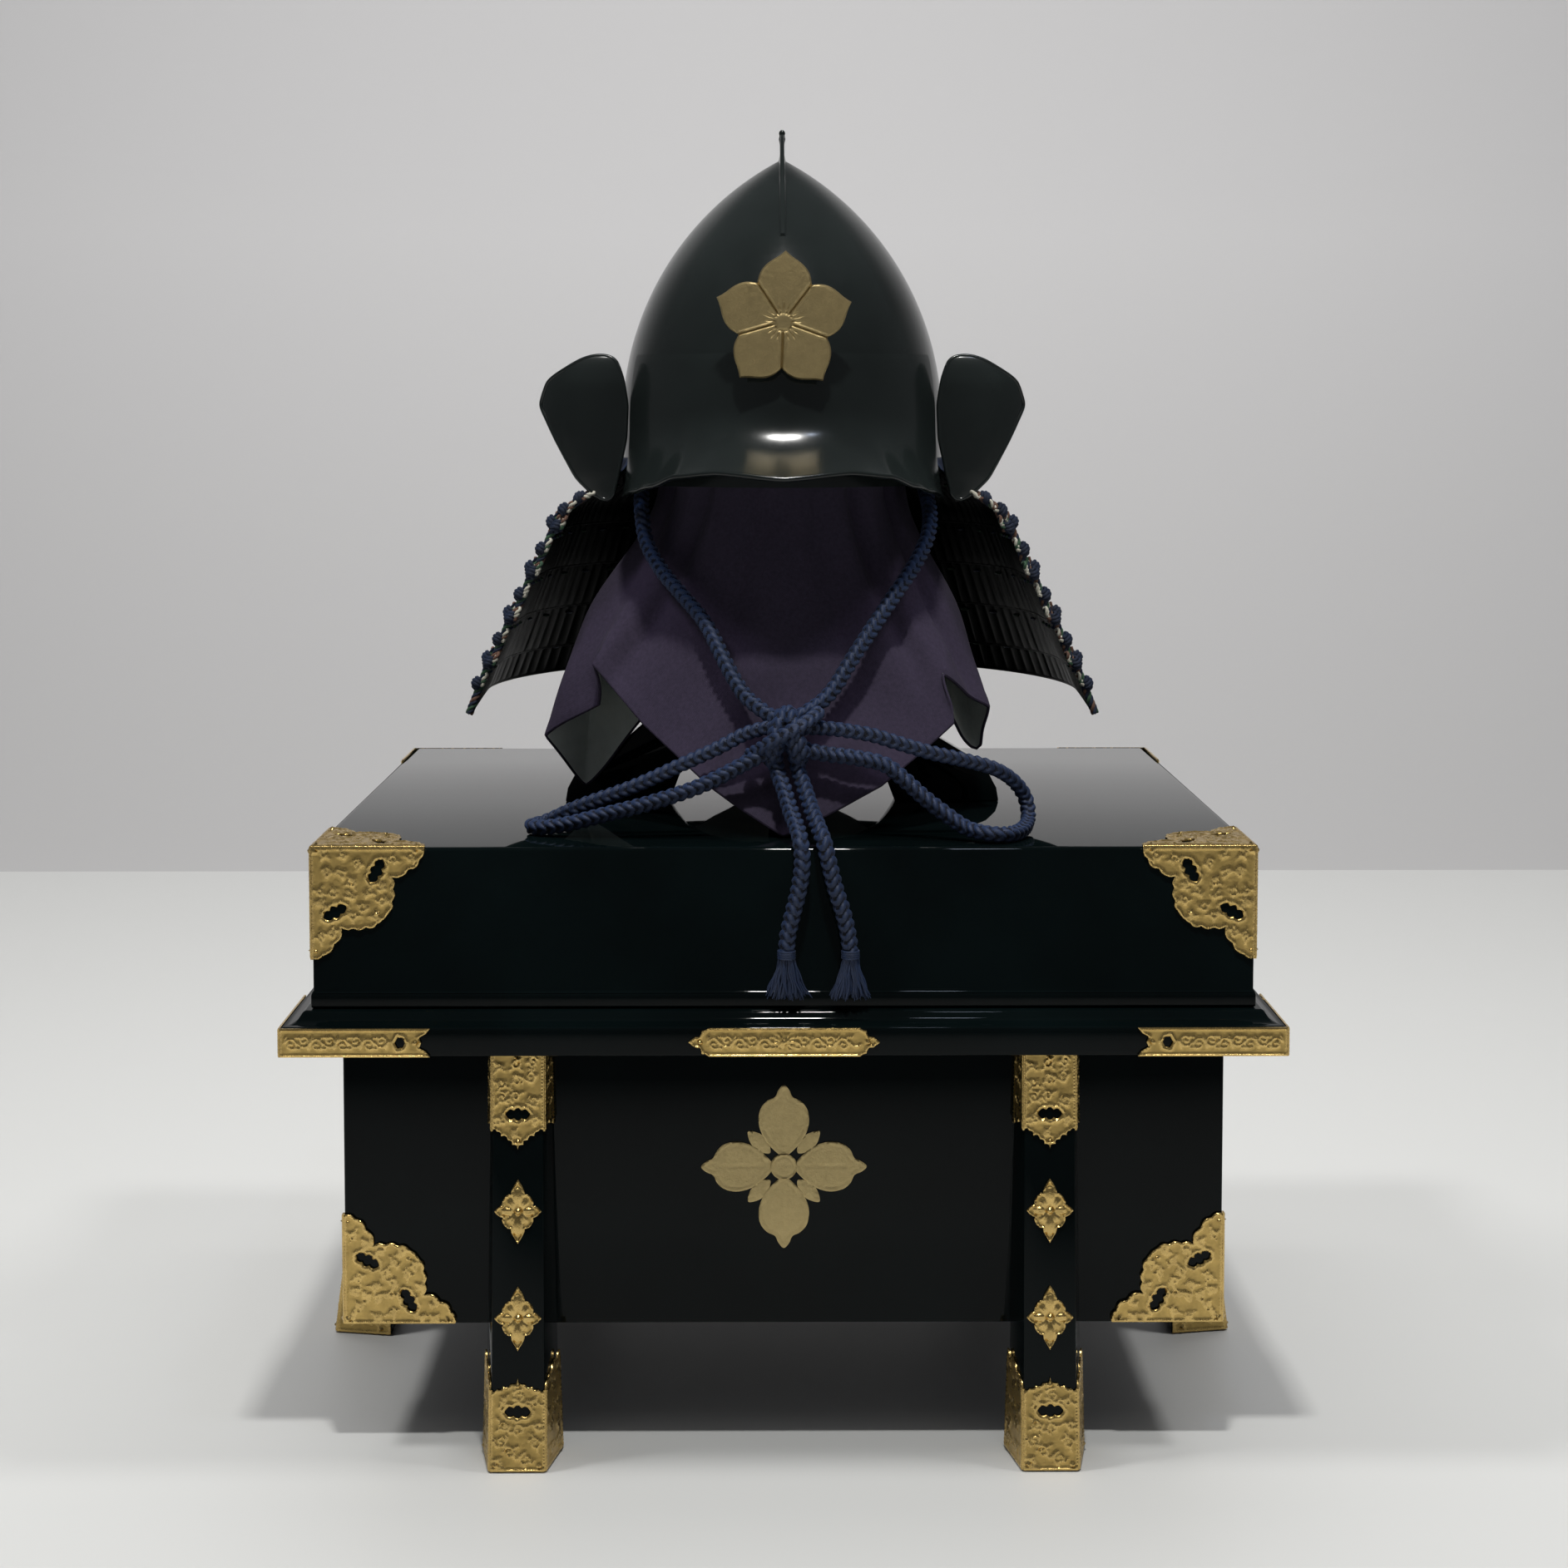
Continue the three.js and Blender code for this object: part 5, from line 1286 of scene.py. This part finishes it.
def front_face(spot, base):
    def place(u, v, h):
        front, _, depth = leg_section(base + v)
        return on_leg(spot, u / 16.0 * (front + 0.3), depth + 0.3 + h, base + v)
    return place


def side_face(spot, base, way):
    def place(u, v, h):
        front, back, depth = leg_section(base + v)
        share = u / 30.0
        ahead = (depth + 0.3) * (1 - share)
        across = lerp(front + 0.3, back + 0.3, share) + h
        return on_leg(spot, way * across, ahead, base + v)
    return place


def mirrored(half, closing):
    """A plate's outline from its right half and the corners that close it, in the order relief wants."""
    return closing + half + [(-x, y) for x, y in half[::-1]][1:]


def chased(outline, hole, spacing, seed, **values):
    """Relief with scrollwork over the whole plate."""
    holes = [hole] if hole else []
    return relief(outline, holes, *scrollwork(outline, holes, spacing, seed, 3.0), rim=1.4, **values)


cap_front = chased(
    mirrored(arcs([(16, 11.6), (13.2, 10.6), (10.5, 7.6), (6.2, 5.4), (3.4, 2.6), (0, -0.6)], 0.3),
             [(-16, 57.7), (16, 57.7)])[::-1],
    cloud(0, 20.8, 15.5, 0), 8.0, 21, step=1.15, nails=[(0, 4.5, 1.1), (0, 54, 1.1)])
cap_edge = arcs([(0.6, 10.4), (6, 15.2), (12.5, 15.6), (19, 12.0), (24, 13.4), (29.2, 9.4)], 0.2)
cap_side = chased([(0, 57.7), (0, 10.4)] + cap_edge + [(29.2, 57.7)], None, 8.0, 22, step=1.25)
shoe_front = chased(
    mirrored(arcs([(16, 47.6), (12.4, 48.2), (8.8, 50.0), (4.4, 51.2), (0, 54.6)], -0.3),
             [(-16, 0), (16, 0)]),
    cloud(0, 35.0, 15.5, 0), 8.4, 31, step=1.15, nails=[(0, 50, 1.1), (-13, 3.4, 1.0), (13, 3.4, 1.0)])
shoe_edge = arcs([(29.4, 61.0), (24, 57.2), (18, 57.8), (12, 53.4), (6, 52.6), (0, 47.6)], 0.2)
shoe_side = chased(([(0, 0), (29.4, 0)] + shoe_edge)[::-1], None, 8.4, 32, step=1.25, nails=[(24, 3.4, 1.0)])


def diamond():
    """Outline of a leg's rosette: a diamond with a lobed edge, upright."""
    points = []
    for k in range(96):
        angle = k / 96 * TAU
        base = 1 / (abs(math.cos(angle)) / 13.6 + abs(math.sin(angle)) / 18.6)
        reach = base * (0.87 + 0.17 * abs(math.cos(4 * angle)) ** 0.6)
        points.append((math.cos(angle) * reach, math.sin(angle) * reach))
    return points


def flower(points, count, radius, tall, turn=0.0, stretch=1.25):
    """Height of a ring of rounded petals at points."""
    height = np.zeros(len(points))
    for k in range(count):
        angle = turn + k / count * TAU
        cx, cy = math.cos(angle) * radius, math.sin(angle) * radius * stretch
        length = math.hypot(cx, cy)
        dx, dy = points[:, 0] - cx, points[:, 1] - cy
        along = (dx * cx + dy * cy) / length
        across = (-dx * cy + dy * cx) / length
        off = np.sqrt((along / (length * 0.62)) ** 2 + (across / (length * 0.42)) ** 2)
        petal = tall * np.sqrt(np.maximum(0, 1 - off ** 2)) - 0.5 * np.exp(-(across / 0.35) ** 2) * (off < 1)
        height = np.maximum(height, petal)
    return height


rosette = relief(diamond(), step=0.85, rim=1.1, ground=0.9, high=1.9)
spots = rosette["flat"]
petals = np.maximum(flower(spots, 4, 6.2, 1.7, 0, 1.45), flower(spots, 4, 4.9, 1.4, TAU / 8, 1.3))
petals = np.maximum(petals, 2.0 * np.sqrt(np.maximum(0, 1 - (np.hypot(spots[:, 0], spots[:, 1]) / 1.9) ** 2)))
rosette["height"] = np.maximum(rosette["height"], 0.9 + petals)
rosette["deep"] = rosette["height"][np.array(rosette["faces"])].mean(axis=1) < 1.15

def leg_fitting(spot, name, front, side, base, heights):
    """A front plate and two side plates round a leg, with a bead along the edges where they meet."""
    build = Build()
    place = front_face(spot, base)
    lay(build, front, place)
    for way in (-1, 1):
        lay(build, side, side_face(spot, base, way), way < 0)
        line = [place(np.array([16.0 * way]), np.array([v]), np.array([0.1]))[0] for v in heights]
        build.add(*tube(line, 1.0, 8))
    build.make("%s_%s_gilt" % (name, spot), [GILT, GILT_DEEP], ["%s_%s" % (name, spot)], 60)


for spot in LEGS:
    leg_fitting(spot, "leg_cap", cap_front, cap_side, CAP_FOOT, (11.6, 35, 57.7))
    leg_fitting(spot, "shoe", shoe_front, shoe_side, SHOE_FOOT, (0.4, 24, 47.6))
    build = Build()
    for height in (156.0, 91.5):
        lay(build, rosette, lambda u, v, h, height=height: on_leg(
            spot, u, leg_section(height + v)[2] - GAP + h, height + v))
    build.make("leg_rosettes_" + spot, [GILT, GILT_DEEP], (), 60)


# Ornament on the chest's front: a traditional four-petalled flower diamond in gold leaf

def ornament_piece():
    build = Build()
    centre = np.array((0.0, -217.5 - GAP, 176.0))

    def place(u, v, h):
        return np.stack([centre[0] + u, centre[1] - h, centre[2] + v], axis=1)

    def petal(angle, reach, wide):
        points = [(6.5, 0)]
        side = [(12, wide * 0.5), (20, wide * 0.86), (28, wide * 1.0), (36, wide * 0.92), (41, wide * 0.66),
                (43.5, wide * 0.34), (47.5, wide * 0.22), (reach, 0)]
        ring = points + side + [(x, -y) for x, y in side[::-1][1:]]
        ring = spline(np.array(ring), 90, True)[:-1]
        c, s = math.cos(angle), math.sin(angle)
        return [(x * c - y * s, x * s + y * c) for x, y in ring]

    for k in range(4):
        angle = k * TAU / 4
        ring = petal(angle, 51.0, 15.5)
        veins = [np.array([(r * math.cos(angle), r * math.sin(angle)) for r in (13, 40)])]
        plate = relief(ring, step=1.4, rim=1.5, ground=0.55, high=0.95)
        off = distance_to(plate["flat"], veins)
        plate["height"] = plate["height"] - 0.3 * np.exp(-(off / 0.5) ** 2)
        plate["deep"][:] = False
        lay(build, plate, place)
        angle += TAU / 8
        c, s = math.cos(angle), math.sin(angle)
        bud = ((12, 0), (16, 3.4), (22, 4.6), (27, 3.2), (31, 0), (27, -3.2), (22, -4.6), (16, -3.4))
        ring = [(c * a - s * b, s * a + c * b) for a, b in bud]
        plate = relief(spline(np.array(ring), 60, True)[:-1], step=1.4, rim=1.0, ground=0.6, high=0.85)
        plate["deep"][:] = False
        lay(build, plate, place)
    ring = [(math.cos(k / 40 * TAU) * 8.2, math.sin(k / 40 * TAU) * 8.2) for k in range(40)]
    plate = relief(ring, step=1.0, rim=1.2, ground=0.9, high=1.3)
    plate["deep"][:] = False
    lay(build, plate, place)
    # The ornament takes the lighter copy of the gold leaf: painted light.
    return build.make("front_ornament_leaf", LEAF_PAINTED_LIGHTER, ["front_ornament"], 60)


ornament_piece()


# Camera at the photograph's viewing angle, floor, backdrop and soft studio light

camera = bpy.data.objects.new("camera", bpy.data.cameras.new("camera"))
bpy.context.collection.objects.link(camera)
camera.location = (-0.0102, -1.7805, 0.6377)
camera.rotation_euler = (math.radians(90 - 3.7), 0, -0.0066)
camera.data.sensor_width = 36
camera.data.lens = 59.39
camera.data.shift_y = -0.1297
camera.data.clip_end = 50
bpy.context.scene.camera = camera


def plain(name, points, faces, color, roughness):
    mesh = bpy.data.meshes.new(name)
    mesh.from_pydata(points, [], faces)
    obj = bpy.data.objects.new(name, mesh)
    bpy.context.collection.objects.link(obj)
    mesh.materials.append(material(name, color, roughness))
    return obj


FLOOR_END, COVE_DEEP, COVE_TALL, WALL_TOP = 1.8, 2.0, 2.2, 5.2
plain("floor", [(-4, -4, 0), (4, -4, 0), (4, FLOOR_END, 0), (-4, FLOOR_END, 0)], [(0, 1, 2, 3)],
      (0.53, 0.534, 0.525), 0.5)
bend = [(FLOOR_END + COVE_DEEP * math.sin(t), COVE_TALL * (1 - math.cos(t)))
        for t in np.linspace(0, math.pi / 2, 40)]
bend += [(FLOOR_END + COVE_DEEP, WALL_TOP)]
cove = plain("backdrop", [(x, y, z) for y, z in bend for x in (-7, 7)],
             [(2 * i, 2 * i + 1, 2 * i + 3, 2 * i + 2) for i in range(len(bend) - 1)], (0.5, 0.496, 0.5), 0.9)
cove.data.shade_smooth()
paint = cove.data.materials[0]
spot = node(paint, "ShaderNodeTexCoord")
axes = node(paint, "ShaderNodeSeparateXYZ")
link(paint, spot.outputs["Object"], axes.inputs["Vector"])
# The cove is painted darker towards its foot, from 0.42 at the floor to 0.56 a metre up: painted shade, so
# that its foot, which lies nearly flat and takes the overhead light like the floor, reads as the wall.
link(paint, ramp(paint, axes.outputs["Z"], [(0.0, (0.42, 0.417, 0.418)), (1.0, (0.56, 0.556, 0.56))]),
     shader_of(paint).inputs["Base Color"])


def area(name, place, look_at, size, power, color=(1, 1, 1)):
    data = bpy.data.lights.new(name, "AREA")
    data.shape = "RECTANGLE"
    data.size, data.size_y = size
    data.energy = power
    data.color = color
    obj = bpy.data.objects.new(name, data)
    bpy.context.collection.objects.link(obj)
    obj.location = place
    obj.rotation_euler = (Vector(look_at) - Vector(place)).to_track_quat("-Z", "Y").to_euler()
    return obj


area("key", (0.03, -0.98, 2.6), (0, 0, 0.4), (0.17, 0.1), 38, (1, 0.99, 0.96))
area("spark", (0.42, -1.0, 2.6), (0, -0.2, 0.6), (0.16, 0.1), 2.2, (0.7, 0.8, 1))
for name, place, size, power in (
    ("over_left", (-1.25, -0.35, 2.5), (0.35, 0.35), 27),
    ("over_right", (1.25, -0.25, 2.5), (0.35, 0.35), 22),
    ("front_wash", (0, -2.0, 3.2), (2.4, 1.0), 4),
    ("back_wash", (0, 0.9, 3.4), (3.0, 1.0), 26),
):
    area(name, place, (0, 0.1, 0.2), size, power, (1, 0.99, 0.98)).visible_glossy = False
area("wall_wash", (0, 1.6, 3.8), (0, 3.8, 1.3), (5.0, 0.8), 88, (1, 0.99, 0.98)).visible_glossy = False
world = bpy.data.worlds.new("studio")
bpy.context.scene.world = world
world.use_nodes = True
world.node_tree.nodes["Background"].inputs["Color"].default_value = (0.86, 0.88, 0.92, 1)
world.node_tree.nodes["Background"].inputs["Strength"].default_value = 0.125
bpy.context.scene.view_settings.view_transform = "Standard"
